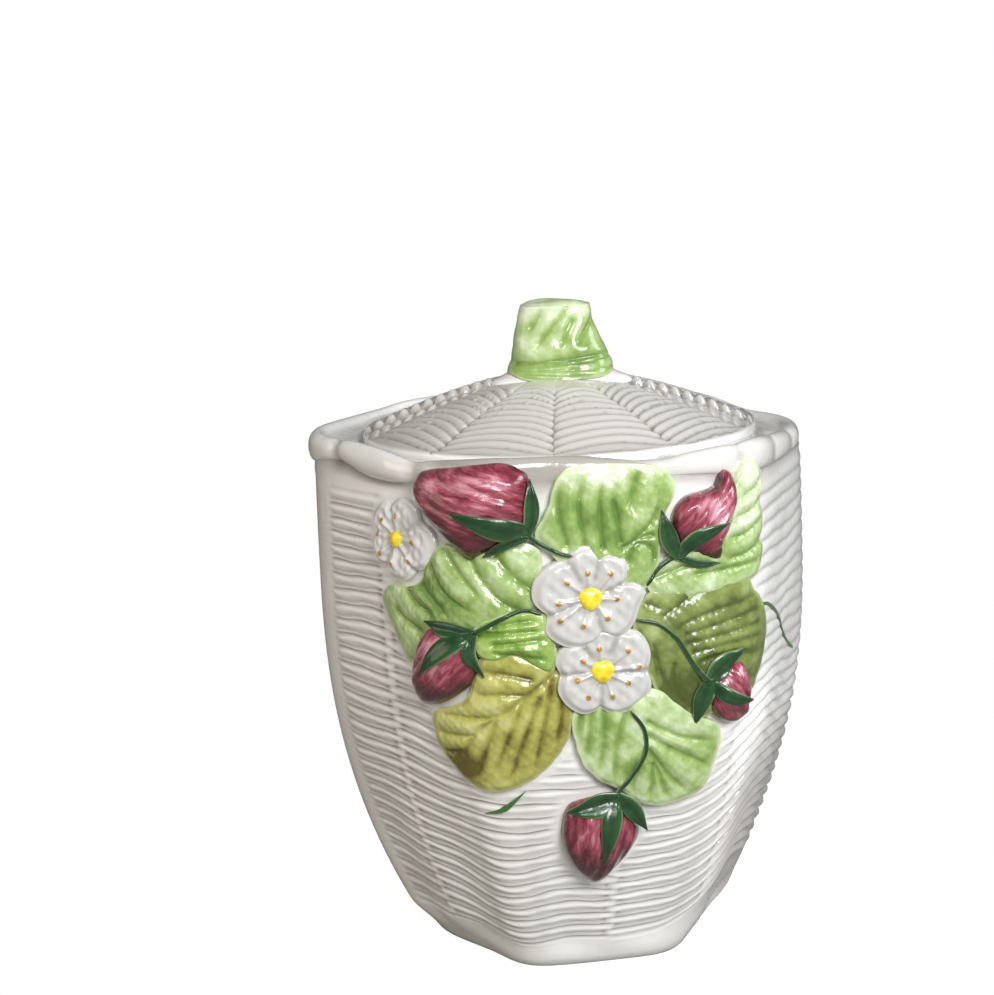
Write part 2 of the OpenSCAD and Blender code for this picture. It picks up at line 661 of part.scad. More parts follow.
// Stem: round rod over the leaves from the fruit's calyx to the middle of the spray
function bend(p, m, q, f) = (1 - f) * (1 - f) * p + 2 * f * (1 - f) * (2 * m - (p + q) / 2) + f * f * q;
function edge_of(at, d, dir) = [at[0] + 0.4 * d * cos(dir) / mm_per_deg(at), at[1] + 0.4 * d * sin(dir)];
module stem(at, size, end, bow, low) {
    from = place(at, [-0.46 * size[0], 0]);
    run_mm = [(end[0] - from[0]) * mm_per_deg(at), end[1] - from[1]];
    across = [-run_mm[1] / mm_per_deg(at), run_mm[0]] / norm(run_mm);
    mid = (from + end) / 2 + bow * across;
    ts = [for (i = [0:7]) 45 * i];
    rise = fruit_h([-0.46 * size[0], 0], size) + 0.4;
    fs = [for (i = [0:8]) i / 8];
    line = [for (f = fs) bend(from, mid, end, f)];
    high = [for (f = fs) rise + (low - rise) * min(1, 2.5 * f)];
    axis = [for (i = [0:8]) off_wall(line[i][0], line[i][1], high[i])];
    run = [for (i = [0:8]) unit(axis[min(8, i + 1)] - axis[max(0, i - 1)])];
    side = [for (i = [0:8]) unit(cross(out_dir(line[i][0], line[i][1]), run[i]))];
    rings = [for (i = [0:8]) [for (t = ts)
        axis[i] + stem_d / 2 * (side[i] * cos(t) + cross(run[i], side[i]) * sin(t))]];
    skin(axis[0], rings, axis[8]);
}
module stem_upper_left() {
    color(sepal_green) difference() {
        stem(berry_upper_left_at, berry_upper_left_size,
            edge_of(blossom_upper_at, blossom_upper_d, stem_upper_left_from),
            stem_upper_left_bow, leaf_t + 0.4);
        calyx(berry_upper_left_at, berry_upper_left_size);
        berry(berry_upper_left_at, berry_upper_left_size);
        form_top();
        flower_upper();
    }
}
module stem_upper_right() {
    color(sepal_green) difference() {
        stem(berry_upper_right_at, berry_upper_right_size,
            edge_of(blossom_upper_at, blossom_upper_d, stem_upper_right_from),
            stem_upper_right_bow, leaf_t + leaf_step);
        calyx(berry_upper_right_at, berry_upper_right_size);
        berry(berry_upper_right_at, berry_upper_right_size);
        form_top();
        flower_upper();
    }
}
module stem_left() {
    color(sepal_green) difference() {
        stem(berry_left_at, berry_left_size,
            edge_of(blossom_upper_at, blossom_upper_d, stem_left_from),
            stem_left_bow, leaf_t + leaf_step);
        calyx(berry_left_at, berry_left_size);
        berry(berry_left_at, berry_left_size);
        form_left();
        form_upper_left();
        flower_upper();
    }
}
module stem_right() {
    color(sepal_green) difference() {
        stem(berry_right_at, berry_right_size,
            edge_of(blossom_upper_at, blossom_upper_d, stem_right_from),
            stem_right_bow, leaf_t + 0.4);
        calyx(berry_right_at, berry_right_size);
        berry(berry_right_at, berry_right_size);
        form_right();
        flower_upper();
    }
}
module stem_bottom() {
    color(sepal_green) difference() {
        stem(berry_bottom_at, berry_bottom_size,
            edge_of(blossom_lower_at, blossom_lower_d, stem_bottom_from),
            stem_bottom_bow, leaf_t + leaf_step);
        calyx(berry_bottom_at, berry_bottom_size);
        berry(berry_bottom_at, berry_bottom_size);
        form_lower_right();
        flower_lower();
    }
}

jar_body();
lid_shell();
knob_core();
knob_leaf();
leaf_top();
leaf_upper_right();
leaf_right();
leaf_lower_right();
leaf_lower_left();
leaf_left();
leaf_upper_left();
berry_upper_left();
berry_upper_right();
berry_left();
berry_right();
berry_bottom();
calyx_upper_left();
calyx_upper_right();
calyx_left();
calyx_right();
calyx_bottom();
stem_upper_left();
stem_upper_right();
stem_left();
stem_right();
stem_bottom();
blossom_upper();
blossom_lower();
blossom_left();
centre_upper();
centre_lower();
centre_left();
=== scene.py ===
import bpy
import math
import numpy as np
from mathutils import Matrix, Vector


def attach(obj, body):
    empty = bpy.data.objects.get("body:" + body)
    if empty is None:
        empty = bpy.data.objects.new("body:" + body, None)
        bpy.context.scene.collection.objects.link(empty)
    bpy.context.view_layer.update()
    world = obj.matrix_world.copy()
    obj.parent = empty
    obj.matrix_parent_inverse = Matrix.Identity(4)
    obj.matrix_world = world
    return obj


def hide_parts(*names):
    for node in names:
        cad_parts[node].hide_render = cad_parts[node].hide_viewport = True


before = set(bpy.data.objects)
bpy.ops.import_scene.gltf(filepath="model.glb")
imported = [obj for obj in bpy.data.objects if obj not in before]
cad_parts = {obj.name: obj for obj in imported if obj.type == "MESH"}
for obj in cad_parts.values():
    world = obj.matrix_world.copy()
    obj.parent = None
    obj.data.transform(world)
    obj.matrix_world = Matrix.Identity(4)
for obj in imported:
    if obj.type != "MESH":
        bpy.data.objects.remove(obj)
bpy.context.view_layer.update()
scene = bpy.context.scene
print("frame loaded:", len(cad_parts), "nodes")

# the jar's main sizes in mm, as in the part's source; footIn is how far the foot is drawn in at its sides
jar = {
    "height": 138, "footRadius": 40.5, "bellyRadius": 66, "bellyZ": 100.3, "curve": 2.3, "neckIn": 0.6,
    "roundness": 10, "cornerAngle": -18, "wallThick": 5, "floorThick": 6, "rimZ": 128,
    "seatZ": 133, "seatRadius": 53.2, "mouthRadius": 46.2, "footIn": 2.2,
}


def linear(code):  # sRGB hex to linear RGBA: the power curve above the toe, the straight part below it
    rgb = np.array([int(code[i:i + 2], 16) for i in (1, 3, 5)]) / 255
    rgb = np.where(rgb <= 0.04045, rgb / 12.92, ((rgb + 0.055) / 1.055) ** 2.4)
    return (*rgb.tolist(), 1.0)


def addNode(tree, kind, settings=None, links=None):  # one node with its settings, sockets and links
    node = tree.nodes.new(kind)
    for key, value in (settings or {}).items():
        if key == "stops":
            ramp = node.color_ramp
            while len(ramp.elements) < len(value):
                ramp.elements.new(0.5)
            for element, (place, code) in zip(ramp.elements, value):
                element.position = place
                element.color = linear(code)
        elif isinstance(key, int) or key in node.inputs:
            node.inputs[key].default_value = value
        else:
            setattr(node, key, value)
    for key, socket in (links or {}).items():
        tree.links.new(socket, node.inputs[key])
    return node


def newMaterial(name):  # empty material and its node tree
    material = bpy.data.materials.new(name)
    material.use_nodes = True
    material.node_tree.nodes.clear()
    return material, material.node_tree


def addMesh(name, skin, material, body, nodes=(), values=None, plan=None):
    # points in mm to a smooth mesh in metres on a body; values are point attributes, plan a UV map
    points, faces = skin
    mesh = bpy.data.meshes.new(name)
    mesh.from_pydata((np.asarray(points) * 0.001).tolist(), [], faces)
    mesh.polygons.foreach_set("use_smooth", np.ones(len(mesh.polygons), bool))
    for key, value in (values or {}).items():
        layer = mesh.attributes.new(key, "FLOAT", "POINT")
        layer.data.foreach_set("value", np.ascontiguousarray(value, np.float32))
    if plan is not None:
        corners = np.empty(len(mesh.loops), np.int32)
        mesh.loops.foreach_get("vertex_index", corners)
        layer = mesh.uv_layers.new(name="plan")
        layer.data.foreach_set("uv", np.asarray(plan, np.float32)[corners].ravel())
    mesh.update()
    mesh.materials.append(material)
    piece = bpy.data.objects.new(name, mesh)
    scene.collection.objects.link(piece)
    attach(piece, body)
    if nodes:
        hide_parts(*nodes)


def addSprig(node, skin, glaze, values=None, plan=None):  # a piece on the jar in place of its node
    addMesh(node.replace("_", "-"), skin, glazes[glaze], "jar", [node], values, plan)


def closedSkin(first, rings, last):  # pole, equal rings and a second pole: fans at the ends, quads between
    rows, cols = rings.shape[:2]
    points = np.concatenate([[first], rings.reshape(-1, 3), [last]])
    j = np.arange(cols)
    k = (j + 1) % cols
    start = 1 + cols * np.arange(rows - 1)[:, None]
    quads = np.stack([start + j, start + k, start + cols + k, start + cols + j], -1).reshape(-1, 4)
    top = 1 + cols * (rows - 1)
    low = np.stack([np.zeros(cols, int), 1 + k, 1 + j], -1)
    high = np.stack([top + j, top + k, np.full(cols, 1 + rows * cols)], -1)
    return points, low.tolist() + quads.tolist() + high.tolist()


def withPoles(first, grid, last):  # a value for each point of a closed skin
    return np.concatenate([[first], np.asarray(grid).ravel(), [last]])


def joinSkins(skins):  # several skins in one: face numbers step up by the points before them
    faces = []
    count = 0
    for points, part in skins:
        for corners in (3, 4):
            faces += (np.array([face for face in part if len(face) == corners]) + count).tolist()
        count += len(points)
    return np.concatenate([points for points, part in skins]), faces


def smooth(low, high, x):  # 0 below low, 1 above high, cubic ease between; high may lie below low
    f = np.clip((x - low) / (high - low), 0, 1)
    return f * f * (3 - 2 * f)


def window(x, span):  # product of two eases: a span is where they start, are full, start to fade and end
    start, full, fade, end = span
    return smooth(start, full, x) * smooth(end, fade, x)


def bell(x, width):  # bell curve of height 1
    return np.exp(-(np.asarray(x) / width) ** 2)


def turned(a):  # angle brought to -180..180
    return (np.asarray(a, float) + 180) % 360 - 180


def wave(a, count, shift=0):  # sine with a number of waves to a full turn, its phase shifted in radians
    return np.sin(np.radians(count * a) + shift)


def ripple(x, y):  # gentle unevenness of hand work: four crossing waves, about -1..1
    waves = ((1.1, 0.7, 0), (0.6, -1.3, 1), (1.7, 1.9, 2), (2.9, -0.4, 0))
    return 0.3 * sum(np.sin(p * x + q * y + shift) for p, q, shift in waves)


def around(a, table):  # value at an angle from listed (angle, value) points, as a mean over 8 degrees
    table = np.array(table, float)
    steps = [np.interp(turned(a + d), table[:, 0], table[:, 1], period=360) for d in (-4, -2, 0, 2, 4)]
    return np.mean(steps, 0)


def hexShape(a):  # rounded hexagon: power mean of the six face directions, 1 at a corner
    faces = jar["cornerAngle"] + 30 + 60 * np.arange(6)
    n = jar["roundness"]
    power = np.maximum(0, np.cos(np.radians(np.asarray(a, float)[..., None] - faces))) ** n
    return math.cos(math.pi / 6) * 2 ** (1 / n) / power.sum(-1) ** (1 / n)


def bellyRadius(z):  # corner radius at a height: a power curve up to the belly, then slightly in
    z = np.asarray(z, float)
    rise = 1 - (1 - np.clip(z, 0, jar["bellyZ"]) / jar["bellyZ"]) ** jar["curve"]
    low = jar["footRadius"] + (jar["bellyRadius"] - jar["footRadius"]) * rise
    over = np.maximum(0, z - jar["bellyZ"]) / (jar["height"] - jar["bellyZ"])
    return low - jar["neckIn"] * over ** 2


def polar(r, a, z):  # point at a radius and a height, the angle from the front toward +X
    r, a, z = np.broadcast_arrays(np.asarray(r, float), np.radians(a), z)
    return np.stack([r * np.sin(a), -r * np.cos(a), z], -1)


def onWall(a, z, h=0):  # wall point pushed out along its normal, taken from small steps round and up
    def flat(b, y):
        return polar(bellyRadius(y) * hexShape(b), b, y)

    a, z, h = np.broadcast_arrays(np.asarray(a, float), np.asarray(z, float), np.asarray(h, float))
    normal = np.cross(flat(a + 1, z) - flat(a - 1, z), flat(a, z + 1) - flat(a, z - 1))
    normal /= np.linalg.norm(normal, axis=-1, keepdims=True)
    return flat(a, z) + h[..., None] * normal


def wallScale(at):  # mm along the wall for one degree
    return float(bellyRadius(at[1]) * hexShape(at[0])) * math.pi / 180


def mmFrom(at, a, z):  # mm along the wall from a place: degrees times the scale there, and height
    return (np.asarray(a, float) - at[0]) * wallScale(at), np.asarray(z, float) - at[1]


def footTuck(a):  # mm that the foot is drawn in: nothing at the front, eased in toward the sides
    return jar["footIn"] * smooth(22, 50, np.abs(turned(a - 8)))


def cubic(p, i, f):  # between the points p[i] and p[i + 1] at share f, with slopes from their neighbours
    a, b, c, d = (p[(i + k) % len(p)] for k in (-1, 0, 1, 2))
    bend = (2 * a - 5 * b + 4 * c - d) * f ** 2 + (3 * b - a - 3 * c + d) * f ** 3
    return 0.5 * (2 * b + (c - a) * f + bend)


def spread(curve, count, closed):  # points evenly spaced along a dense curve
    ring = np.concatenate([curve, curve[:1]]) if closed else curve
    run = np.concatenate([[0], np.cumsum(np.linalg.norm(np.diff(ring, axis=0), axis=1))])
    at = np.linspace(0, run[-1], count, endpoint=not closed)
    return np.stack([np.interp(at, run, ring[:, k]) for k in range(ring.shape[1])], -1)


def closedCurve(points, count, steps=16):  # smooth closed curve through points, from steps on each span
    p = np.asarray(points, float)
    dense = np.linspace(0, len(p), steps * len(p), endpoint=False)
    i = dense.astype(int)
    return spread(cubic(p, i, (dense - i)[:, None]), count, True)


def openCurve(points, count, steps=16):  # the same from first point to last, its ends carried on straight
    p = np.asarray(points, float)
    p = np.concatenate([[2 * p[0] - p[1]], p, [2 * p[-1] - p[-2]]])
    dense = np.linspace(1, len(p) - 2, steps * len(p))
    i = np.minimum(dense.astype(int), len(p) - 3)
    return spread(cubic(p, i, (dense - i)[:, None]), count, False)


def lineField(x, y, lines, widths, steps=72):
    # for each width: 1 along the lines, falling off as a bell across them and fading at each line's end
    dots = np.concatenate([openCurve(line, steps) for line in lines])
    fade = np.tile(smooth(1.02, 0.75, np.linspace(0, 1, steps)), len(lines))
    apart = np.square(x[..., None] - dots[:, 0]) + np.square(y[..., None] - dots[:, 1])
    return [(np.exp(-apart / width ** 2) * fade).max(-1) for width in widths]


def reach(a, z, outline):  # mm from an outline's middle, and from there to its edge in that direction
    ring = closedCurve(outline, 180)
    middle = ring.mean(0)
    way = np.stack(mmFrom(middle, *ring.T), -1)
    turn = np.arctan2(way[:, 1], way[:, 0])
    order = np.argsort(turn)
    x, y = mmFrom(middle, a, z)
    far = np.linalg.norm(way, axis=1)[order]
    return np.hypot(x, y), np.interp(np.arctan2(y, x), turn[order], far, period=2 * math.pi)


# sprigs: outlines, creases and sepals are wall angle in degrees and height in mm, outlines run
# counter-clockwise from outside; lift and rise are mm, folds and fold how deep, tone a shift of the glaze's
# colour; pale and dark are angle, height, reach and strength of a paler or darker patch, leaf_right's pale
# one a painted highlight
leaves = {
    "leaf_upper_right": {
        "glaze": "spring", "centre": (35, 117), "lift": 0.1, "tone": -0.1, "pale": (46, 128, 11, -0.26),
        "outline": [(44, 134), (41, 131.5), (37, 126), (30, 120), (24, 113), (19, 107), (22, 103),
            (30, 102), (38, 103), (46, 105.5), (48.6, 111), (47.8, 114), (49, 119), (48, 123.5),
            (49.8, 128), (48.2, 132)],
        "creases": [[(38, 111), (43, 112), (48.5, 114.5)], [(38.5, 116), (43, 117), (48.5, 119.5)],
            [(40, 121), (44, 122), (48, 124.5)], [(30, 108), (38, 108.5), (46, 109)],
            [(21, 108), (28, 110.5), (34, 110)], [(42, 126), (45, 127), (49, 129)]],
    },
    "leaf_right": {
        "glaze": "olive", "centre": (33, 89), "lift": 0.3, "folds": 0.5, "tone": 0.05,
        # pale: a painted highlight where the leaf meets the blossom
        "pale": (18.5, 95, 5, -0.25), "dark": (27, 79, 7, 0.36),
        "outline": [(36, 107.3), (29, 105), (22, 105.6), (17, 102), (15.5, 97), (16.5, 90), (19, 83),
            (22, 77), (26, 72), (29.5, 70.2), (36, 73), (43, 75), (46.5, 79.5), (48.6, 85), (49.8, 92),
            (48, 97.5), (45, 101.5), (42, 106.3)],
        "creases": [[(22.5, 98.5), (27, 101.5), (32, 106)], [(26.5, 96), (33.5, 98.6), (46, 101)],
            [(27.5, 93.5), (36, 95.5), (47.5, 97.5)], [(28, 91), (36.5, 92.6), (48.5, 94)],
            [(29, 88.6), (38, 90), (48.5, 90)], [(30.5, 86), (36, 87.2), (47, 86)],
            [(20, 91), (22, 83), (26.5, 76)], [(24.5, 86), (24.5, 80), (28, 74)],
            [(17.5, 102.5), (22.5, 100)], [(17, 95), (20, 88), (21, 82)], [(38, 83), (43, 80), (46, 80)]],
    },
    "leaf_upper_left": {
        "glaze": "spring", "centre": (-24, 106), "lift": 0.1, "tone": -0.06, "dark": (-29, 104.5, 6, 0.36),
        "outline": [(-9, 119), (-16, 117.5), (-22, 117.5), (-27, 117.6), (-31, 113), (-33, 108),
            (-38, 105.6), (-44, 105.2), (-46.8, 102), (-45.5, 97.5), (-42, 91), (-38.5, 86.6), (-34, 88),
            (-27, 93), (-19, 97), (-12, 100.5), (-5.5, 103), (-5, 110), (-5, 116)],
        "creases": [[(-26, 118), (-23, 113), (-17, 105)], [(-29.5, 112), (-25.5, 106), (-19, 101.5)],
            [(-33, 108), (-29, 104), (-25, 100.5)], [(-38.5, 106.5), (-34, 102.5), (-28, 100)],
            [(-20, 116), (-16.5, 109), (-12.5, 104), (-8, 101.6)], [(-14, 116), (-11, 111), (-6, 106)],
            [(-41, 99), (-36, 96.5), (-31, 95)]],
    },
    "leaf_lower_left": {
        "glaze": "autumn", "centre": (-14, 73), "lift": 0.3, "pale": (-22, 74, 11, -0.26),
        "dark": (-24, 63, 5.5, 0.6),
        "outline": [(-7, 90), (-13, 92.5), (-18, 91), (-20, 85), (-22, 79.5), (-27, 76.6), (-31.2, 74.6),
            (-31.8, 70), (-30, 65), (-26, 60), (-22, 56.8), (-17.5, 55.4), (-13, 56.4), (-9, 58.6),
            (-5, 62), (-1.6, 66.5), (0.2, 71), (0.8, 76), (-0.4, 82), (-2.5, 87)],
        "creases": [[(-2, 87), (-9.5, 80.5), (-20.5, 70.5), (-24.5, 61)],
            [(-3.5, 84.5), (-5, 76.5), (-8.5, 60)], [(-6.5, 80), (-11, 67), (-14, 57.5)],
            [(-9.5, 80.5), (-12.5, 72), (-18, 58)], [(-15.5, 75), (-18, 67), (-21, 59.5)],
            [(-10.5, 79.5), (-16.5, 75.5), (-29, 75)], [(-20.5, 70.5), (-25, 70), (-31, 70)],
            [(-9.5, 81), (-13.5, 81.4), (-20, 81)], [(-2, 83), (-1.5, 76), (-3.5, 66)],
            [(-24, 66), (-27, 65), (-29.5, 65.5)], [(-8, 85), (-13, 86.5), (-18.5, 87)]],
    },
    "leaf_top": {
        "glaze": "spring", "centre": (11, 121), "lift": 1.0, "pale": (9, 137, 9, -0.4),
        "dark": (10, 125.5, 5.5, 0.36),
        "outline": [(20, 136), (13, 136.8), (6, 137.2), (1, 136.4), (-1.8, 132), (-3.4, 126.5),
            (-6.2, 120.5), (-3.5, 117), (0, 112), (6, 107), (13, 105.5), (18.6, 106), (21.4, 111),
            (22.4, 118), (23.6, 124), (26, 129.5), (24.4, 133.6)],
        "creases": [[(4.5, 117), (3.4, 127), (4.6, 134)], [(8.5, 117), (8, 126), (8.8, 134)],
            [(12.5, 118), (12, 124), (11, 130)], [(0.5, 118), (-1, 126), (-0.5, 133)],
            [(15, 127), (16.2, 131), (17.6, 135)], [(15, 117), (20.5, 122.5), (22, 128)],
            [(13.5, 116.5), (18, 118.6), (21.5, 119)], [(14.2, 113), (16.6, 117), (20.4, 115), (20, 110)]],
    },
    "leaf_lower_right": {
        "glaze": "spring", "centre": (18, 66), "lift": 1.0, "tone": -0.14, "dark": (14.5, 61, 3, 0.36),
        "outline": [(20, 80), (10, 81), (2, 78), (0.6, 73), (1.4, 67), (3.2, 61.6), (6.5, 57.8),
            (10, 55.6), (13.6, 53), (17, 50.4), (21.5, 49.2), (26, 49.4), (30.5, 51), (33.8, 54.4),
            (34.8, 59), (35.6, 64), (35, 69), (30, 72), (25, 76)],
        "creases": [[(8, 76), (7.6, 67), (6.4, 59)], [(5, 76), (4, 68), (3.4, 63)],
            [(13, 75), (10.6, 66), (10.4, 56)], [(18.5, 72), (26, 67.6), (34.5, 65)],
            [(18.5, 68.5), (25, 64), (34, 58.5)], [(18.5, 65), (23, 58.5), (29, 52)],
            [(20, 61), (19.6, 51)], [(20.6, 60), (24, 51)], [(2.6, 75), (1.8, 70)],
            [(16, 60), (15, 56), (15.5, 52)]],
    },
    "leaf_left": {
        "glaze": "fresh", "centre": (-10.5, 94.5), "lift": 1.0, "tone": 0.03,
        "outline": [(-5, 101.6), (-11, 102), (-16.5, 100), (-19.5, 97), (-19, 92), (-16, 90), (-11, 91),
            (-7, 88.4), (-3.6, 86.8), (-2.4, 90), (-3, 95)],
        "creases": [[(-18, 96.6), (-9, 97.2), (-4.5, 97.4)], [(-15, 94), (-9, 94.8), (-4, 95.2)],
            [(-15, 92), (-9.5, 91), (-4.4, 90)], [(-15, 98.6), (-10, 99.6), (-6, 99.8)]],
    },
}
berries = {
    "berry_upper_left": {
        "hub": (-8, 121.5), "tip": (-35, 131), "rise": 6.4, "fold": 0.3, "tone": 0.04,
        "widths": (3.6, 5.6, 2.6),
        "outline": [(-7, 134.6), (-9, 137), (-12.5, 138.4), (-18, 138), (-24, 137), (-29, 136.2),
            (-32.4, 134.8), (-33.7, 131.6), (-32.8, 128), (-30.5, 125), (-27, 121.5), (-23.5, 118.3),
            (-20.5, 115.6), (-19, 114.8), (-16, 116.6), (-11.5, 118.6), (-8, 121), (-7, 127)],
        "sepals": [[(-8.2, 120.2), (-6.8, 126), (-6.9, 134.6)], [(-7.4, 122), (-13, 123), (-20.8, 127)],
            [(-7.6, 120.6), (-12, 118.8), (-16.6, 115.8)]],
    },
    "berry_upper_right": {
        "hub": (26, 113.5), "tip": (38.6, 132.4), "rise": 5.4, "fold": 0.5, "tone": 0.09,
        "widths": (4.2, 4.0, 2.2),
        "outline": [(39, 131.6), (37.4, 133), (36, 131.6), (34.8, 129.2), (32, 128.2), (28.8, 127.6),
            (26.2, 125.2), (25, 121.8), (25, 118), (26.3, 114.4), (30, 112.6), (35, 110.6), (35.6, 113.6),
            (37.6, 118), (39, 122.5), (39.8, 127)],
        "sepals": [[(26, 112.6), (23.8, 117.5), (22.4, 124.8)],
            [(25.6, 112.6), (29.5, 117.8), (35.6, 120.8)], [(25.4, 113.2), (30, 111), (35, 110.4)]],
    },
    "berry_left": {
        "hub": (-19.4, 97), "tip": (-33.5, 76.5), "rise": 5.6, "fold": 0.3, "tone": 0.06,
        "widths": (3.6, 4.6, 2.8),
        "outline": [(-19, 95.5), (-22, 97.4), (-26, 97.6), (-30, 97.2), (-33, 93.5), (-35.2, 88.5),
            (-36.6, 83), (-35.4, 78), (-33, 76.3), (-28.5, 77.4), (-24.5, 79.8), (-21, 83), (-19, 86.5),
            (-18.4, 91)],
        "sepals": [[(-18.4, 97), (-25, 97.4), (-31, 98.4)], [(-18.6, 97), (-24.4, 93), (-30, 85.8)],
            [(-18.6, 97.2), (-19.6, 91.6), (-17.2, 86)]],
    },
    "berry_right": {
        "hub": (32.5, 81), "tip": (41, 69), "rise": 5, "fold": 0.5, "tone": 0.06,
        "widths": (4.6, 4.6, 3.6),
        "outline": [(37, 84.6), (33.6, 82), (32.6, 78), (33, 74), (35, 70.6), (38, 68.8), (40.8, 69.3),
            (42.4, 72.5), (42.6, 77.5), (41.6, 82), (39.8, 85.2)],
        "sepals": [[(31.6, 80.6), (35.4, 85.4), (40.6, 88)], [(32.4, 82), (30.6, 76), (29.2, 70)],
            [(31.8, 81.4), (36, 77.2), (41, 75.4)]],
    },
    "berry_bottom": {
        "hub": (10.4, 53), "tip": (5, 28.6), "rise": 6, "fold": 0.3, "tone": -0.02,
        "widths": (4.8, 5.2, 4.2),
        "outline": [(10.4, 52.6), (5, 52), (-0.6, 50.2), (-2.4, 45), (-2.6, 40), (-1.2, 35), (1.8, 30.6),
            (4.6, 28.6), (7.6, 29), (11.6, 32.6), (15.4, 37.2), (17.6, 42), (16, 46.5), (13.4, 50.6)],
        "sepals": [[(11.4, 53.6), (5, 51.4), (-1.6, 49.8)], [(10.6, 54), (8.6, 46), (6.8, 37.4)],
            [(10.6, 54), (15, 49.4), (19.4, 42.8)]],
    },
}
stems = {
    "stem_upper_left": [(-8, 121), (-4.6, 118.2), (-1, 116), (1.4, 115.4)],
    "stem_upper_right": [(25.6, 113.4), (21.6, 110.6), (18.6, 106.4)],
    "stem_left": [(-18.4, 97.2), (-13, 100.8), (-9, 102.4), (-5.4, 101.4)],
    "stem_right": [(31.6, 81.4), (28.2, 86.6), (25.2, 92.4), (21, 96.6), (16, 98)],
    "stem_bottom": [(10.8, 53.6), (15, 59.4), (17.6, 64.8), (17.2, 70.6), (14, 75.6)],
}
# blossoms: outline as direction in degrees and reach in mm, petals parted at the listed directions, dots
# the stamens' places on the wall, heart the yellow middle's radius, and a share of painted shade greys the
# whole flower
blossoms = {
    "blossom_upper": {
        "at": (5.2, 104.6), "lift": 1.5, "heart": 2.9, "shadeGrey": 0.42, "parts": (21, 76, 118, 200, 288),
        "outline": [(5, 14.2), (21, 9.6), (40, 12.6), (60, 12.6), (76, 10.8), (90, 13), (106, 13),
            (118, 11), (140, 13), (160, 13.8), (179, 13.4), (200, 10.4), (216, 13.4), (240, 13.2),
            (268, 12), (288, 9.6), (305, 12.8), (330, 12.8), (346, 12.4)],
        "dots": [(4.6, 111), (9.8, 110.5), (0, 109), (-2, 104), (11.1, 104.1), (-1.8, 99.8), (8.8, 99.5),
            (3.2, 98)],
    },
    "blossom_lower": {
        "at": (7.6, 86.2), "lift": 1.0, "heart": 2.9, "shadeGrey": 0.42, "parts": (66, 125, 182, 266, 355),
        "outline": [(18, 12.8), (42, 13.2), (66, 10.6), (92, 11), (110, 11), (125, 9.4), (146, 11.4),
            (164, 11.8), (182, 9.8), (204, 11.8), (226, 12), (246, 11.8), (266, 9.4), (286, 11.8),
            (312, 13.2), (338, 13.4), (355, 11.2)],
        "dots": [(6.8, 92), (3, 89.3), (13.5, 91), (16, 86.6), (1.6, 84.6), (13.4, 83), (4, 80),
            (9.7, 79.8)],
    },
    "blossom_left": {
        "at": (-40.4, 117.4), "lift": -0.6, "heart": 2.2, "shadeGrey": 0.1, "parts": (32, 104, 172, 236, 310),
        "outline": [(0, 13), (16, 12.2), (32, 9.4), (54, 11), (82, 10.8), (104, 8.6), (126, 10.8),
            (150, 10.6), (172, 8.4), (190, 10.2), (218, 10.6), (236, 8.6), (258, 10.4), (286, 10.6),
            (310, 9.2), (334, 12.4)],
        "dots": [(-44.8, 121.6), (-46.8, 118), (-46, 113), (-41.6, 111), (-34.4, 117.4), (-35.8, 112.4),
            (-39.6, 123.4)],
    },
}
# painted marks: thin strokes of green laid over the weave; wide is mm at the start, the middle and the end
strokes = {
    "tendril": {
        "wide": (0.8, 1.2, 0.7),
        "path": [(47, 96), (51, 96.2), (55, 94.8), (60, 91.8), (64, 88.4), (66.7, 85.1), (72, 81),
            (80, 77)],
    },
    "blade": {
        "wide": (0.15, 1.6, 0.1),
        "path": [(-21, 48.4), (-16, 50), (-10.5, 55)],
    },
}


# woven wall: ribs sag with the foot line and end in fingers that interleave at the middle of each face,
# narrowing from tuck to overlap, where 1 is that middle; joined faces have ribs that run on, phase shifts
# each corner's rows, the top pitch is grow times the lowest, rings are the mesh's own across a row, calm is
# mm beside the tendril, spans of angle (A) and height (Z) are as window reads them
weave = {
    "rows": 30, "grow": 1.2, "rings": (0, 0.13, 0.37, 0.5, 0.63, 0.87), "depth": 1.7, "top": 127.5,
    "tuck": 0.84, "overlap": 1.1, "phase": (0.5, 0, 0, 0.5, 0.5, 0), "joined": (1, 3), "calm": 4,
    "tilt": 3.4, "tiltA": (-100, -78, -60, -18), "tiltZ": (4, 28, 96, 124), "swayZ": (6, 24, 112, 127),
    "leftA": (-150, -110, -24, -14), "rightA": (36, 50, 110, 150), "plainA": (-86, -84, -69.5, -67.5),
    "padA": (-39, -35, 42, 46), "hollowZ": (3, 9, 26, 64), "shadeZ": (4, 18, 40, 70),
    "foot": [(-180, 12.5), (-138, 12), (-108, 10.5), (-78, 11), (-60, 10.5), (-42, 10.5), (-30, 9),
        (-16, 6.8), (0, 8), (12, 8), (25, 7.4), (32, 8.4), (38, 13), (45, 19), (55, 22.5), (70, 22),
        (90, 18), (120, 12), (150, 12)],
}


def footLine(a):  # where the weave starts, by angle
    return around(a, weave["foot"])


def ribLevel(count):  # share of the woven height at a row count: the pitch grows evenly upward
    return (weave["grow"] ** (count / weave["rows"]) - 1) / (weave["grow"] - 1)


def sway(a, z):  # hand-laid unevenness of the rows in mm: a lean at the left, and three waves round the jar
    lean = weave["tilt"] * window(a, weave["tiltA"]) * window(z, weave["tiltZ"])
    waves = 0.6 * wave(a, 5, z / 19) + 0.34 * wave(a, 11, -z / 7) + 0.16 * wave(a, 31, z)
    return window(z, weave["swayZ"]) * (lean + waves)


def rib(f, wide):  # one rounded strand across its pitch, sharp at the grooves, narrower toward its end
    f = f - np.floor(f)
    return np.maximum(0, 1 - ((2 * f - 1) / np.maximum(wide, 0.05)) ** 2) ** 0.8


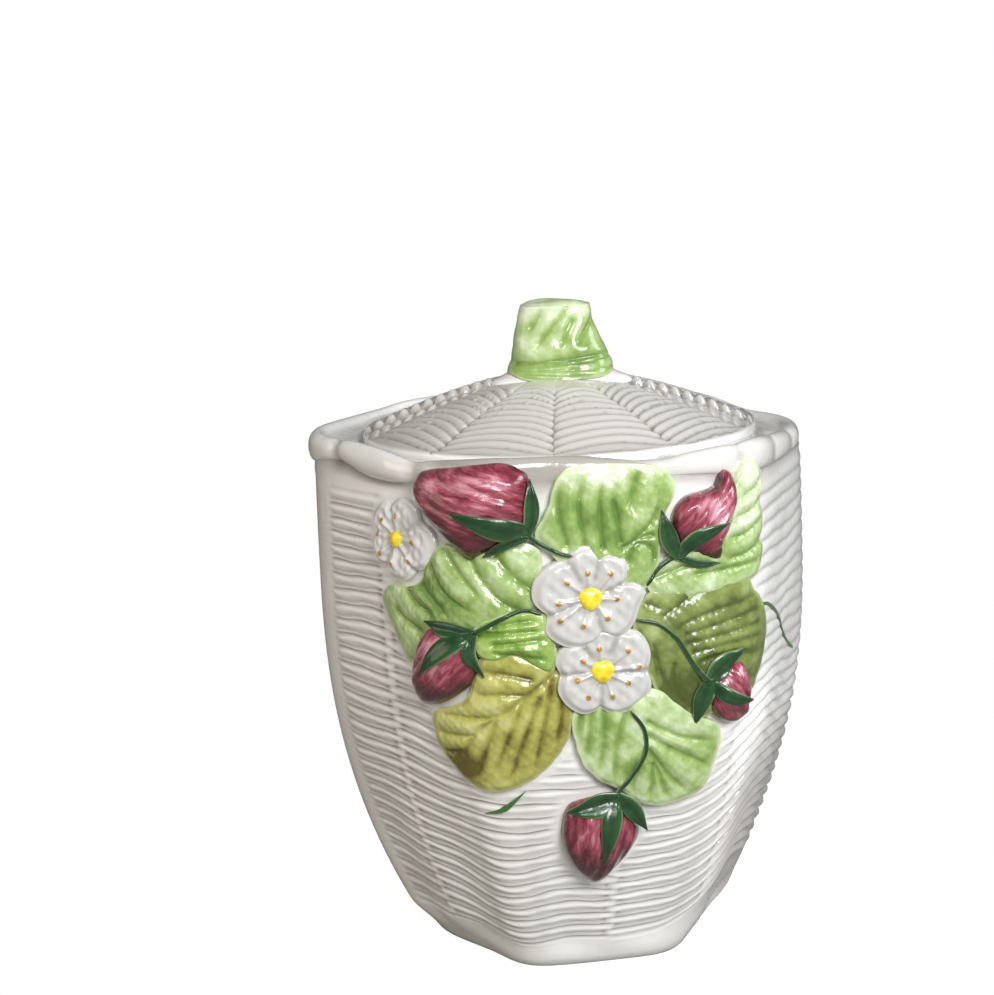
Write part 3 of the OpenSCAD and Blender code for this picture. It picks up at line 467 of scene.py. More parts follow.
def wallStrands(a, count):
    # strands of the nearer corner and of its neighbour, each ending past the middle of the face: the higher
    # one shows; far is 0 at a corner and 1 at the middle of a face
    place = turned(a - jar["cornerAngle"]) / 60
    sector = np.round(place)
    side = 2 * (place - sector)
    far = np.abs(side)
    phase = np.array(weave["phase"])
    joined = np.isin(np.floor(place) % 6, weave["joined"])

    def strands(corner, away):  # one corner's ribs, narrower toward their ends unless the face is joined
        wide = np.maximum(joined, smooth(weave["overlap"], weave["tuck"], away) ** 0.5)
        return rib(count + phase[(corner % 6).astype(int)], wide)

    here = strands(sector, far) * (1 - 0.16 * bell(far - 0.24, 0.08))  # dips over a stake by each corner
    return np.maximum(here, strands(sector + np.where(side < 0, -1, 1), 2 - far)), far


def wovenGround(a, z):
    # 1 where the weave shows, eased to 0 at the foot, under the rim, round and between the sprigs, and on
    # the plain corner at the left
    low = footLine(a)
    top = weave["top"]
    ground = np.minimum(smooth(low - 0.5, low + 1.6, z), smooth(top + 0.6, top - 2, z))
    for sprig in (*leaves.values(), *berries.values()):
        away, edge = reach(a, z, sprig["outline"])
        ground = np.minimum(ground, smooth(1.0, 3.8, away - edge))
    for flower in blossoms.values():
        ground = np.minimum(ground, smooth(11.6, 14.6, np.hypot(*mmFrom(flower["at"], a, z))))
    pad = window(a, weave["padA"]) * smooth(117, 121, z)
    return ground * (1 - pad) * (1 - 0.95 * window(a, weave["plainA"]))


def wallRelief(a, z, count):
    # mm off the smooth wall: grooves between the strands, crumpled clay at the lower right, hollows beside
    # the lower corners and the foot drawn in; and the grey of pooled glaze and painted shade, least at the
    # lit right
    a = turned(a)
    strand, far = wallStrands(a, count)
    ground = wovenGround(a, z)
    left = window(a, weave["leftA"])
    right = window(a, weave["rightA"])
    path = np.array(strokes["tendril"]["path"])
    scale = wallScale(path[0])
    painted = lineField(a * scale, z, [path * (scale, 1)], (weave["calm"],))[0]
    # shallower at the sides, under the tendril and at the upper right
    depth = weave["depth"] * (1 - 0.5 * bell(np.abs(a) - 90, 16)) * (1 - 0.6 * painted)
    depth = depth * (1 - 0.62 * right * smooth(60, 85, z))
    crumple = bell(turned(a - 64), 24) * bell(z - 11, 7)
    crumple = crumple * (-0.5 + 0.55 * wave(a, 13, z / 4) + 0.3 * wave(a, 29, -z / 3))
    relief = -depth * (1 - strand) * ground + (1 - ground) * (-0.35 + crumple) - 0.04
    relief = relief - 1.3 * bell(far - 0.5, 0.3) * window(z, weave["hollowZ"])
    relief = relief - footTuck(a) * smooth(10, 1, z)
    relief = relief + 0.2 * wave(a, 4, z / 23) * smooth(2, 8, z) * (1 - ground)
    # painted shade with pooled glaze: grey in the grooves, more on the shaded left face, less on the lit
    # right, and a painted shadow low on the right flank
    pool = (1 - strand) ** 1.15 * ground * (1.1 + 0.25 * left - 0.95 * right) * (1 - 0.5 * painted)
    return relief, pool + 0.72 * right * window(z, weave["shadeZ"])


# glazes: bump is strength and metres, scales are per metre or, on a plan in cm, per cm
def glazeSkin(tree, colour, height, bump, rough=0.22, coat=0.6):
    # clear gloss over a colour: glaze of IOR 1.5 rippled by a height, with a harder clear skin on top
    depth = {"Strength": bump[0], "Distance": bump[1]}
    normal = addNode(tree, "ShaderNodeBump", depth, {"Height": height}).outputs["Normal"]
    gloss = {"Roughness": rough, "IOR": 1.5, "Coat Weight": coat, "Coat Roughness": 0.05}
    shader = addNode(tree, "ShaderNodeBsdfPrincipled", gloss,
                     {"Base Color": colour, "Normal": normal, "Coat Normal": normal})
    addNode(tree, "ShaderNodeOutputMaterial", links={"Surface": shader.outputs["BSDF"]})


def washed(tree, noise, vector, stops):  # colour that drifts between stops as a noise does, and that noise
    cloud = addNode(tree, "ShaderNodeTexNoise", noise, {"Vector": vector}).outputs["Fac"]
    return addNode(tree, "ShaderNodeValToRGB", {"stops": stops}, {"Fac": cloud}).outputs["Color"], cloud


def laidOver(tree, name, under, over):
    # one colour over another where a point attribute says; the upper one is a hex code or a socket
    share = addNode(tree, "ShaderNodeAttribute", {"attribute_name": name}).outputs["Fac"]
    settings = {"data_type": "RGBA"}
    links = {0: share, 6: under}
    if isinstance(over, str):
        settings[7] = linear(over)
    else:
        links[7] = over
    return addNode(tree, "ShaderNodeMix", settings, links).outputs[2]


def whiteGlaze():
    # tin-white earthenware glaze: gloss over a warm white body, greyer where glaze pools in the grooves and
    # where shade is painted in
    material, tree = newMaterial("whiteEarthenwareGlaze")
    coords = addNode(tree, "ShaderNodeTexCoord").outputs["Object"]
    patches = {"Scale": 45.0, "Detail": 3.0}  # 22 mm
    body = washed(tree, patches, coords, [(0.3, "#EAE9E5"), (0.7, "#F3F2EF")])[0]
    # painted shade and pooled glaze: a warm grey laid over the body as a point attribute says
    tint = laidOver(tree, "pool", body, "#766C60")
    ripples = {"Scale": 330.0, "Detail": 2.0}  # 3 mm
    fine = addNode(tree, "ShaderNodeTexNoise", ripples, {"Vector": coords})
    glazeSkin(tree, tint, fine.outputs["Fac"], (0.14, 0.0008), 0.2, 0.85)
    return material


def leafGlaze(name, pale, light, mid, deep, edge):
    # green washed on in patches: whitish where it breaks over ridges and margins, deep in the creases where
    # glaze pools and shade is painted in
    material, tree = newMaterial(name)
    plan = addNode(tree, "ShaderNodeUVMap", {"uv_map": "plan"}).outputs["UV"]
    tone = addNode(tree, "ShaderNodeAttribute", {"attribute_name": "tone"}).outputs["Fac"]
    washes = {"Scale": 2.6, "Detail": 4.0, "Roughness": 0.6}  # 4 mm
    wash = addNode(tree, "ShaderNodeTexNoise", washes, {"Vector": plan}).outputs["Fac"]
    patches = {"Scale": 0.9, "Detail": 1.0}  # 11 mm
    broad = addNode(tree, "ShaderNodeTexNoise", patches, {"Vector": plan}).outputs["Fac"]
    both = addNode(tree, "ShaderNodeMath", {"operation": "ADD"}, {0: wash, 1: broad}).outputs["Value"]
    level = addNode(tree, "ShaderNodeMath", {"operation": "MULTIPLY_ADD", 1: 0.7}, {0: both, 2: tone})
    stops = [(0.24, pale), (0.44, light), (0.64, mid), (0.92, deep)]
    body = addNode(tree, "ShaderNodeValToRGB", {"stops": stops}, {"Fac": level.outputs["Value"]})
    tint = laidOver(tree, "edge", body.outputs["Color"], edge)
    glazeSkin(tree, tint, wash, (0.22, 0.0008), 0.28, 0.4)
    return material


def berryGlaze():
    # crimson brushed on in strokes along the fruit, with the rose of thin glaze showing between them
    material, tree = newMaterial("crimsonBrushedGlaze")
    plan = addNode(tree, "ShaderNodeUVMap", {"uv_map": "plan"}).outputs["UV"]
    tone = addNode(tree, "ShaderNodeAttribute", {"attribute_name": "tone"}).outputs["Fac"]
    strokeScale = {"Scale": (2.4, 9, 1)}  # 4 by 1 mm
    along = addNode(tree, "ShaderNodeMapping", strokeScale, {"Vector": plan})
    brushed = {"Scale": 1.0, "Detail": 4.0, "Roughness": 0.6, "Distortion": 0.5}
    brush = addNode(tree, "ShaderNodeTexNoise", brushed, {"Vector": along.outputs["Vector"]}).outputs["Fac"]
    patches = {"Scale": 1.2, "Detail": 1.0}  # 8 mm
    broad = addNode(tree, "ShaderNodeTexNoise", patches, {"Vector": plan}).outputs["Fac"]
    wash = addNode(tree, "ShaderNodeMath", {"operation": "MULTIPLY_ADD", 1: 0.5}, {0: broad, 2: tone})
    level = addNode(tree, "ShaderNodeMath", {"operation": "MULTIPLY_ADD", 1: 0.7},
                    {0: brush, 2: wash.outputs["Value"]})
    stops = [(0.42, "#45131D"), (0.57, "#702634"), (0.7, "#9C4859"), (0.88, "#D193A0")]
    body = addNode(tree, "ShaderNodeValToRGB", {"stops": stops}, {"Fac": level.outputs["Value"]})
    glazeSkin(tree, body.outputs["Color"], brush, (0.16, 0.0008))
    return material


def yellowGlaze():
    # thick yolk-yellow dab, a little deeper in patches
    material, tree = newMaterial("yolkYellowGlaze")
    coords = addNode(tree, "ShaderNodeTexCoord").outputs["Object"]
    patches = {"Scale": 420.0, "Detail": 2.0}  # 2.4 mm
    body, grain = washed(tree, patches, coords, [(0.3, "#D8B216"), (0.5, "#EFDB2C"), (0.75, "#F4E65C")])
    glazeSkin(tree, body, grain, (0.2, 0.0006))
    return material


def petalGlaze():
    # white glaze with rust-brown stamen dots dabbed on, and painted shade: grey over the petals, in the
    # creases between them and round the yellow middle
    material, tree = newMaterial("petalWhiteGlaze")
    coords = addNode(tree, "ShaderNodeTexCoord").outputs["Object"]
    patches = {"Scale": 160.0, "Detail": 2.0}  # 6 mm
    body, cloud = washed(tree, patches, coords, [(0.3, "#D8D7D4"), (0.7, "#E6E5E3")])
    # painted shade: a grey laid over the petals as a point attribute says
    tint = laidOver(tree, "pool", body, "#9B9993")
    flecks = {"Scale": 1100.0, "Detail": 1.0}  # 0.9 mm
    rust = washed(tree, flecks, coords, [(0.35, "#94641C"), (0.65, "#CB9632")])[0]
    glazeSkin(tree, laidOver(tree, "dots", tint, rust), cloud, (0.12, 0.0006))
    return material


glazes = {
    "white": whiteGlaze(),
    "spring": leafGlaze("springGreenGlaze", "#DEE8CE", "#B8CC97", "#91AD60", "#65853A", "#D3DFB8"),
    "fresh": leafGlaze("freshGreenGlaze", "#D8E5BE", "#B5CB8A", "#97B45A", "#668C30", "#D2DFB4"),
    "olive": leafGlaze("oliveGreenGlaze", "#C3CE9C", "#A0B06E", "#7E8F4A", "#4C5A22", "#BFC896"),
    "autumn": leafGlaze("yellowOliveGlaze", "#CFCF98", "#BDBD70", "#A6A650", "#5E5518", "#C8C890"),
    "sepal": leafGlaze("darkSepalGlaze", "#3E6A30", "#1F4C22", "#123A1A", "#08220E", "#93A07C"),
    "berry": berryGlaze(), "yolk": yellowGlaze(), "petal": petalGlaze(),
}
poolAndShadeStrength = 0.8  # how far pooled glaze and painted shade may grey the white body
print("glazes made:", len(glazes))

# lip of the jar by angle: top height, underside height, overhang and undercut in mm; pinches are angle,
# width and strength, spans of angle (A) are as window reads them
rim = {
    # the grey span is where painted shade greys the front of the lip, as the lid shades it
    "half": 2.5, "scallopA": (22, 30, 84, 100), "lumpA": (-34, -28, 18, 26), "shadeGreyA": (-36, -26, 10, 30),
    "pinches": [(-64.5, 2, 1), (-36, 2.4, 0.7)],
    "top": [(-170, 138.2), (-150, 138.6), (-138, 138), (-130, 137.3), (-118, 137.8), (-105, 138.5),
        (-90, 139.3), (-78, 139.5), (-68, 139.2), (-62, 139.9), (-52, 139.4), (-44, 138.4), (-38, 137),
        (-34, 136.9), (-28, 138.4), (-18, 139), (-8, 139.3), (0, 139.2), (8, 138.2), (14, 137.4),
        (22, 136.2), (28, 137), (34, 137.9), (42, 138.6), (50, 138.4), (60, 137.4), (70, 136.2),
        (80, 135.3), (92, 134.8), (102, 134.8), (112, 134.9), (121, 134.6), (128, 136.2), (133, 137.4),
        (145, 138.4), (158, 139)],
    "low": [(-180, 130.5), (-80, 131.5), (-67, 134), (-61, 134.6), (-55, 131.6), (-50, 130.8), (-40, 131),
        (-34, 132.5), (-30, 133), (0, 133.4), (30, 132.5), (45, 131), (60, 130.2), (90, 129.6),
        (120, 129.6), (140, 130.2)],
    "out": [(-180, 1.1), (-130, 1.1), (-90, 1.3), (-78, 1.1), (-68, 0.8), (-64, 1.2), (-58, 1.9),
        (-43, 1.9), (-37, 0.9), (-32, 0.4), (0, 0.3), (40, 0.4), (50, 0.8), (60, 1), (84, 0.6),
        (92, -0.6), (108, -0.6), (122, 0.6), (150, 1.1)],
    "tuck": [(-180, 0.3), (-70, 0.4), (-60, 1.3), (-43, 1.3), (-36, 0.5), (-30, 0.2), (40, 0.2),
        (52, 0.5), (90, 0.5), (120, 0.3)],
}


def ringAt(a, r, z, pool=0.0):  # one ring of the jar: its points, and the grey of pooled glaze and painted shade along it
    return polar(r, a, z), np.broadcast_to(pool, a.shape)


def footRings(a):  # flat foot with a rounded edge
    foot = jar["footRadius"]
    profile = ((30, 0), (foot - 2.8, 0), (foot - 1.4, 0.3), (foot - 0.5, 1.1))
    return [ringAt(a, r * hexShape(a) - footTuck(a), z) for r, z in profile]


def wallRings(a):  # plain rings up to the weave, a few rings across each row of strands, and one above them
    low = footLine(a)
    first = 2.2
    plain = first + (low - first) * np.linspace(0, 1, 9)[:-1, None]
    rows = weave["rows"]
    count = (np.arange(rows)[:, None] + np.array(weave["rings"])).reshape(-1, 1)
    woven = low + (weave["top"] - low) * ribLevel(count)
    above = np.full((1, len(a)), weave["top"] + 0.3)
    z = np.concatenate([plain, woven, above])
    counts = [np.zeros(plain.shape), np.broadcast_to(count, woven.shape), np.full(above.shape, rows)]
    grid = np.broadcast_to(a, z.shape)
    z = z + sway(grid, z)
    relief, pool = wallRelief(grid, z, np.concatenate(counts))
    return list(zip(onWall(grid, z, relief), pool))


def lipRings(a):
    # half round from its underside over the top, with lobes, lumps and pinches, then down to a shelf
    base = bellyRadius(jar["rimZ"]) * hexShape(a)
    top, under, out, tuck = (around(a, rim[key]) for key in ("top", "low", "out", "tuck"))
    half = rim["half"]
    scallop = window(a, rim["scallopA"])
    lobes = np.abs(np.sin(np.radians(9.5 * (a - 24)))) ** 0.6 * scallop
    pinch = sum(strength * bell(turned(a - at), width) for at, width, strength in rim["pinches"])
    lumps = 0.5 * wave(a, 17) * window(a, rim["lumpA"])
    top = top + 0.7 * (lobes - 0.6 * scallop) + 0.3 * lumps - 0.5 * pinch
    folds = 1.5 * (lobes - 0.7 * scallop) + lumps - 1.3 * pinch
    # painted shade: a little grey all round the lip, more at the front where the lid shades it, in the
    # pinches and between the lobes
    shadeGrey = 0.1 + 0.12 * smooth(-70, -62, a) + 0.64 * window(a, rim["shadeGreyA"])
    shadeGrey = shadeGrey + 0.35 * pinch + 0.3 * (1 - lobes) ** 2 * scallop
    start = jar["rimZ"] + 0.4
    # painted shade under the lip, deepest under its overhang
    rings = [ringAt(a, base - 0.6 * tuck, start + 0.3 * (under - start), 0.2)]
    for turn in (*range(-90, 91, 18), 110, 130, 150):
        c = math.cos(math.radians(turn))
        s = math.sin(math.radians(turn))
        wide = out + tuck if turn < 0 else half
        z = (top + under) / 2 + (top - under) / 2 * s if turn <= 90 else top - (1 - s) * half
        r = base + out - wide * (1 - c) + folds * c * (turn < 90)
        rings.append(ringAt(a, r, z, shadeGrey + 0.6 * (turn == -90) * smooth(0.3, 1, tuck)))
    shelf = jar["seatRadius"] + 0.4
    corner = smooth(3, 9, base - shelf)
    bed = np.minimum(jar["seatZ"] + 0.8 + 2.4 * corner, top - 1)
    edge = np.maximum(base + out - 1.9 * half, shelf + 0.3)
    # painted shade on the shelf, deeper toward the seat and less at the corners, with a painted shadow at
    # the back right
    shade = 0.35 * bell(turned(a - 122), 22)
    for f, drop, pool in ((0.12, 0.25, 0.15), (0.4, 0.55, 0.3), (0.72, 0.85, 0.45), (1, 1, 0.6)):
        z = top - 1.4 + (bed - top + 1.4) * drop
        rings.append(ringAt(a, edge + (shelf - edge) * f, z, pool * (1 - 0.5 * corner) + shade))
    return rings


def insideRings(a):  # round seat and mouth, then the wall's inside parallel to its outside, and the floor
    seat, seatZ, mouth = jar["seatRadius"], jar["seatZ"], jar["mouthRadius"]
    profile = ((seat, seatZ + 0.3), (seat - 0.4, seatZ), (mouth + 0.6, seatZ), (mouth, seatZ - 0.6),
               (mouth, 128.6), (mouth + 0.8, 127.8))
    rings = [ringAt(a, r, z) for r, z in profile]
    lowest = 15
    for z in (119, *np.linspace(112, lowest, 12)):
        rings.append(ringAt(a, bellyRadius(z) * hexShape(a) - jar["wallThick"], z))
    side = bellyRadius(lowest) * hexShape(a) - jar["wallThick"]
    floorZ = jar["floorThick"]
    for back, z in ((1.5, floorZ + 3.5), (4.5, floorZ + 1), (9, floorZ), (24, floorZ)):
        rings.append(ringAt(a, side - back, z))
    return rings


def makeJar():
    # rings of 360 columns: foot, woven outside, rolled lip, shelf, seat, mouth, inside and floor
    a = np.arange(360.0) - 180
    rings, poolAndShadeRings = zip(*footRings(a), *wallRings(a), *lipRings(a), *insideRings(a))
    skin = closedSkin((0, 0, 0), np.stack(rings), (0, 0, jar["floorThick"]))
    values = {"pool": withPoles(0, poolAndShadeStrength * np.stack(poolAndShadeRings), 0)}
    addMesh("jarWall", skin, glazes["white"], "jar", ["jar_body"], values)
    print("jar wall:", len(skin[0]), "points")


# lid: sizes in mm; pitches are the ribs' spacing in each panel, beads the angles of the beaded stakes
lid = {
    "radius": 52, "rise": 14, "top": 151.7, "low": 133.3, "thick": 4.5, "depth": 1.1, "flute": 1.2,
    "flangeRadius": 45.2, "flangeThick": 3.5, "flangeLow": 126.3, "border": 51.4,
    "panels": 10, "first": -2, "pitches": (3.5, 2.9, 2.9, 3, 3, 3, 3, 3, 2.8, 3.1),
    "bead": 3.3, "beadHeight": 2.5, "beads": (-83, 80),
}


def lidDome(r):  # height of the lid's crest at a radius: falls from the top by a power curve
    return lid["top"] - lid["rise"] * (np.asarray(r, float) / lid["radius"]) ** 1.7


def lidRelief(a, r):
    # strands bow between the stakes and end there in knuckles that interleave, and the panels swell
    panels = lid["panels"]
    place = turned(a - lid["first"]) / (360 / panels)
    sector = np.floor(place)
    side = 2 * (place - sector) - 1
    swell = 1 - side ** 2
    far = np.abs(side)
    along = r - 0.5 + 2.2 * swell + 0.3 * wave(a, 9, r / 4)
    pitches = np.array(lid["pitches"])

    def strands(panel, away, shift):  # one panel's ribs, narrower toward their ends
        pitch = pitches[panel.astype(int) % panels]
        return rib(along / pitch + shift, smooth(1.06, 0.8, away) ** 0.5)

    strand = np.maximum(strands(sector, far, 0), strands(sector + np.sign(side), 2 - far, 0.5))
    border = lid["border"] - 0.8 * swell
    ground = window(r, (16.2, 18.5, border, border + 0.8))
    valley = lid["flute"] * (1 - swell ** 0.6) * window(r, (10, 24, 49, 52))
    stake = np.min([np.abs(turned(a - at)) for at in lid["beads"]], 0) * np.radians(r)
    row = (r / lid["bead"]) % 1 - 0.5
    bead = np.sqrt(np.maximum(0, 1 - (2 * row) ** 2 - (2 * stake / lid["bead"]) ** 2))
    strand = strand * smooth(1.7, 2.4, stake)
    relief = -lid["depth"] * (1 - strand) * ground - valley - 0.2 * (1 - ground)
    # painted shade: grey over the whole lid, more at its border and, with pooled glaze, in the grooves;
    # none on the beads
    pool = 0.5 + 0.14 * smooth(47, 50, r) + 0.55 * (1 - strand) ** 1.5 * ground * (1 - bead)
    return relief + lid["beadHeight"] * bead * ground, pool


def makeLid():
    # rings of 480 columns: woven dome, rolled edge, seat, flange and the hollow underneath
    a = np.arange(480) * 0.75 - 180
    radii = np.concatenate([[6, 11, 14], np.arange(15.5, 50.6, 0.5), [51.1, 51.6]])
    grid = np.meshgrid(a, radii)
    relief, pool = lidRelief(*grid)
    edge, low = lid["radius"], lid["low"]
    flange, hem = lid["flangeRadius"], lid["flangeLow"]
    inner = flange - lid["flangeThick"]
    profile = [(edge - 0.1, low + 3.6), (edge, low + 2.9), (edge, low + 1.1), (edge - 0.3, low + 0.3),
               (edge - 1, low), (flange + 0.6, low), (flange, low - 0.5), (flange, hem + 0.7),
               (flange - 0.6, hem), (inner + 0.6, hem), (inner, hem + 0.6)]
    profile += [(r, float(lidDome(r)) - lid["thick"]) for r in np.linspace(inner, 6, 9)]
    dome = polar(grid[1], grid[0], lidDome(grid[1]) + relief)
    rings = np.concatenate([dome, [polar(r, a, z) for r, z in profile]])
    poolAndShadeRings = np.concatenate([pool, np.zeros((len(profile), len(a)))])
    skin = closedSkin((0, 0, lid["top"] - lid["thick"]), rings[::-1], (0, 0, lid["top"] - 0.2))
    values = {"pool": withPoles(0, poolAndShadeStrength * poolAndShadeRings[::-1], 0)}
    addMesh("lidShell", skin, glazes["white"], "lid", ["lid_shell"], values)
    print("lid:", len(skin[0]), "points")


# knob: half widths and heights in mm, depth as a share of the width; wings are angle, width and length,
# core is height and flare, creases are sideways and height in mm on its face
knob = {
    "base": 149.3, "top": 170.7, "topHalf": 8.9, "baseHalf": 14.6, "depth": 0.72,
    "wings": [(345, 24, 3.4), (197, 26, 3)],
    "core": [(148.5, 1.2), (149.4, 1.2), (150.2, 0.8), (151, 0.1), (152, -0.5), (154, -0.9), (157, -1.6),
        (161, -2.4), (166, -2.4)],
    "creases": [[(3.4, 169.4), (-1.8, 163.4), (-6.4, 158)], [(4.4, 165.4), (0.6, 158.6)],
        [(9, 165), (5, 159)], [(-4, 168), (-6.6, 163)], [(-11, 154.4), (2, 155.4), (13.5, 157)]],
}


def knobHalf(z):  # half width: grows downward by a power curve
    f = np.clip((knob["top"] - z) / (knob["top"] - knob["base"]), 0, 1)
    return knob["topHalf"] + (knob["baseHalf"] - knob["topHalf"]) * f ** 1.15


def knobRing(half, t, z):  # superellipse of power 3, shallower from front to back, leaning right low down
    c = np.cos(np.radians(t))
    s = np.sin(np.radians(t))
    q = (np.abs(c) ** 3 + np.abs(s) ** 3) ** (-1 / 3)
    x = half * q * c + 0.9 * smooth(164, 153, np.asarray(z, float))
    return np.stack(np.broadcast_arrays(x, half * knob["depth"] * q * s, z), -1)


def makeKnobCore(t, face):
    # rings of the knob's shape, flared at the foot, drawn in at the face and with a wing to each side
    rise, flare = (np.array(column)[:, None] for column in zip(*knob["core"]))
    wing = sum(length * bell(turned(t - at), width) for at, width, length in knob["wings"])
    half = knobHalf(rise) + flare - 1.6 * face + wing * smooth(152.4, 149.8, rise)
    low = knob["core"][0][0]
    skin = closedSkin((0, 0, low), knobRing(half, t, rise), (0, 0, knob["core"][-1][0] + 1))
    values = {"pool": np.zeros(len(skin[0]))}
    addMesh("knobCore", skin, glazes["white"], "lid", ["knob_core"], values)


def makeKnobLeaf(t, face):
    # cap over the core: a hem that dips at the face, pleats fanned above it, creases, a bulge, a round top
    hem = 152.4 - 2.4 * face - 0.8 * bell(turned(t - 270), 9) + 0.3 * np.cos(np.radians(5 * t + 40))
    step = np.concatenate([np.linspace(0, 0.34, 24), np.linspace(0.36, 1, 34)])[:, None]
    z = hem + (knob["top"] - 1.5 - hem) * step
    x = knobHalf(z) * np.cos(np.radians(t))
    valley, swale = lineField(x, z, knob["creases"], (0.55, 1.7))
    fan = np.degrees(np.arctan2(z - 152.8, x + 17))
    band = smooth(156.6, 154.6, z - 0.07 * x) * smooth(-13, -4, x)
    pleat = np.abs(np.sin(np.radians(fan * 36))) ** 0.6
    bulge = bell(x - 11, 4.5) * bell(z - 156.8, 2.6)
    lift = -0.5 + 0.5 * (1 - swale) * smooth(0, 0.12, step) - 0.55 * valley + 0.3 * (pleat - 0.6) * band
    lift = lift + 0.8 * bulge + 0.7 * smooth(0.2, 0.02, step) + 0.2 * ripple(x / 2, z / 2)
    rings = [knobRing(knobHalf(hem) - 2.6, t, hem + 0.8), knobRing(knobHalf(hem) - 1.9, t, hem)]
    rings += list(knobRing(knobHalf(z) + lift, t, z))
    for share, drop in ((0.96, 1.0), (0.86, 0.5), (0.68, 0.2), (0.4, 0.05)):
        height = knob["top"] - drop - 0.25 * (1 + wave(t, 2, math.radians(30)))
        rings.append(knobRing(knobHalf(height) * share - 0.4, t, height))
    side = slice(2, -4)
    tone = np.full((len(rings), len(t)), -0.3)
    tone[:2] = -0.1
    # tone: deeper in the creases and between the pleats, pooled glaze with painted shade; a little deeper
    # low down, paler toward the top and the left
    tone[side] = -0.1 + 0.16 * valley + 0.06 * swale + 0.2 * (1 - pleat) * band + 0.06 * bulge
    tone[side] += 0.03 * smooth(156.5, 154, z) - 0.26 * smooth(0.6, 1, step) - 0.1 * smooth(4, -10, x)
    edge = np.zeros(tone.shape)
    edge[-4:] = 0.3
    edge[side] = 0.5 * smooth(0.06, 0.01, step) + 0.3 * smooth(0.8, 1, step)
    skin = closedSkin((0, 0, 154), np.stack(rings), (0, 0, knob["top"] - 0.25))
    values = {"edge": withPoles(0, edge, 0.3), "tone": withPoles(-0.2, tone, -0.42)}
    plan = skin[0][:, ::2] / 10
    addMesh("knobLeaf", skin, glazes["spring"], "lid", ["knob_leaf"], values, plan)


def makeKnob():
    # both pieces have 200 columns; face is 1 at the front and falls off as a bell
    t = np.arange(200) * 1.8
    face = bell(turned(t - 270), 58)
    makeKnobCore(t, face)
    makeKnobLeaf(t, face)
    print("knob made")


def patch(centre, outline, heights, rows, root=1.6):
    # disc carried over the wall: rings shrink from outline to centre, closed by a root inside the wall
    s = np.asarray(rows, float)
    ring = outline - centre
    spots = centre + s[:, None, None] * ring
    height = heights(spots[..., 0], spots[..., 1], np.broadcast_to(s[:, None], spots.shape[:2]))
    low = centre + np.array([0.5, 1.0])[:, None, None] * ring
    mid = heights(centre[:1], centre[1:], np.zeros(1))
    rings = [onWall(low[..., 0], low[..., 1], -root), onWall(spots[..., 0], spots[..., 1], height)]
    return closedSkin(onWall(*centre, -root), np.concatenate(rings), onWall(*centre, mid)[0]), spots


def rimmed(outline, spots):  # the outline twice for the root's two rings, then the rings of a patch
    return np.concatenate([np.repeat(outline[None], 2, 0), spots])


def leafFolds(leaf, a, z):  # narrow creases, and the broad dips along them
    lines = [np.stack(mmFrom(leaf["centre"], *np.array(line, float).T), -1) for line in leaf["creases"]]
    return lineField(*mmFrom(leaf["centre"], a, z), lines, (0.6, 1.7))


def leafHeight(leaf, a, z, s):  # low mound, puffed between its creases, with a thin margin
    valley, swale = leafFolds(leaf, a, z)
    x, y = mmFrom(leaf["centre"], a, z)
    inside = smooth(1, 0.88, s)
    fine = 0.22 * ripple(x / 2.4, y / 2.4) + 0.1 * ripple(x * 1.3, y * 1.3)
    puff = (leaf.get("folds", 1) * (0.7 * (1 - swale) - 0.42 * valley) + fine) * (0.3 + 0.7 * inside)
    return leaf["lift"] + 0.8 + 1.3 * (1 - s ** 3) + puff


def spot(leaf, key, a, z):  # strength of a listed patch of glaze, falling off as a bell
    if key not in leaf:
        return 0
    *at, width, strength = leaf[key]
    x, y = mmFrom(leaf["centre"], a, z)
    px, py = mmFrom(leaf["centre"], *at)
    return strength * bell(np.hypot(x - px, y - py), width)


def makeLeaf(name, leaf):
    # rings shrink from a slightly ragged outline; tone is deeper in the creases, pooled glaze with painted
    # shade, and takes the pale and dark patches; edge is 1 along the margin
    turn = np.arange(280) * math.pi / 140
    ragged = 1 + 0.012 * ripple(9 * np.cos(turn), 9 * np.sin(turn))
    centre = np.array(leaf["centre"], float)
    outline = centre + (closedCurve(leaf["outline"], 280) - centre) * ragged[:, None]
    rows = np.concatenate([[1, 0.992, 0.975], np.linspace(0.955, 0.03, 60)])
    skin, spots = patch(centre, outline, lambda a, z, s: leafHeight(leaf, a, z, s), rows)
    a, z = spots[..., 0], spots[..., 1]
    valley, swale = leafFolds(leaf, a, z)
    # tone: deeper in the narrow creases and broad dips, pooled glaze with painted shade there
    tone = 0.16 * valley + 0.1 * swale - 0.1 + leaf.get("tone", 0)
    tone = tone + spot(leaf, "pale", a, z) + spot(leaf, "dark", a, z)
    edge = np.broadcast_to(0.55 * smooth(0.93, 0.985, rows)[:, None], tone.shape)
    x, y = mmFrom(centre, *np.moveaxis(rimmed(outline, spots), -1, 0))
    plan = np.stack([withPoles(0, x, 0), withPoles(0, y, 0)], -1) / 10
    none = np.zeros((2, len(outline)))
    values = {"edge": withPoles(0, np.concatenate([none + 0.5, edge]), 0),
              "tone": withPoles(0, np.concatenate([none, tone]), tone[-1].mean())}
    addSprig(name, skin, leaf["glaze"], values, plan)


def leafTop(a, z):  # height of the highest leaf under a wall point
    highest = np.zeros(np.shape(a))
    for leaf in leaves.values():
        away, edge = reach(a, z, leaf["outline"])
        share = away / edge
        height = leafHeight(leaf, a, z, np.clip(share, 0, 1)) * smooth(1.0, 0.97, share)
        highest = np.maximum(highest, height)
    return highest


def berryHeight(berry, s):  # half-round fruit over its outline
    return 0.8 + berry["rise"] * np.maximum(0, 1 - s ** 2.3) ** 0.58


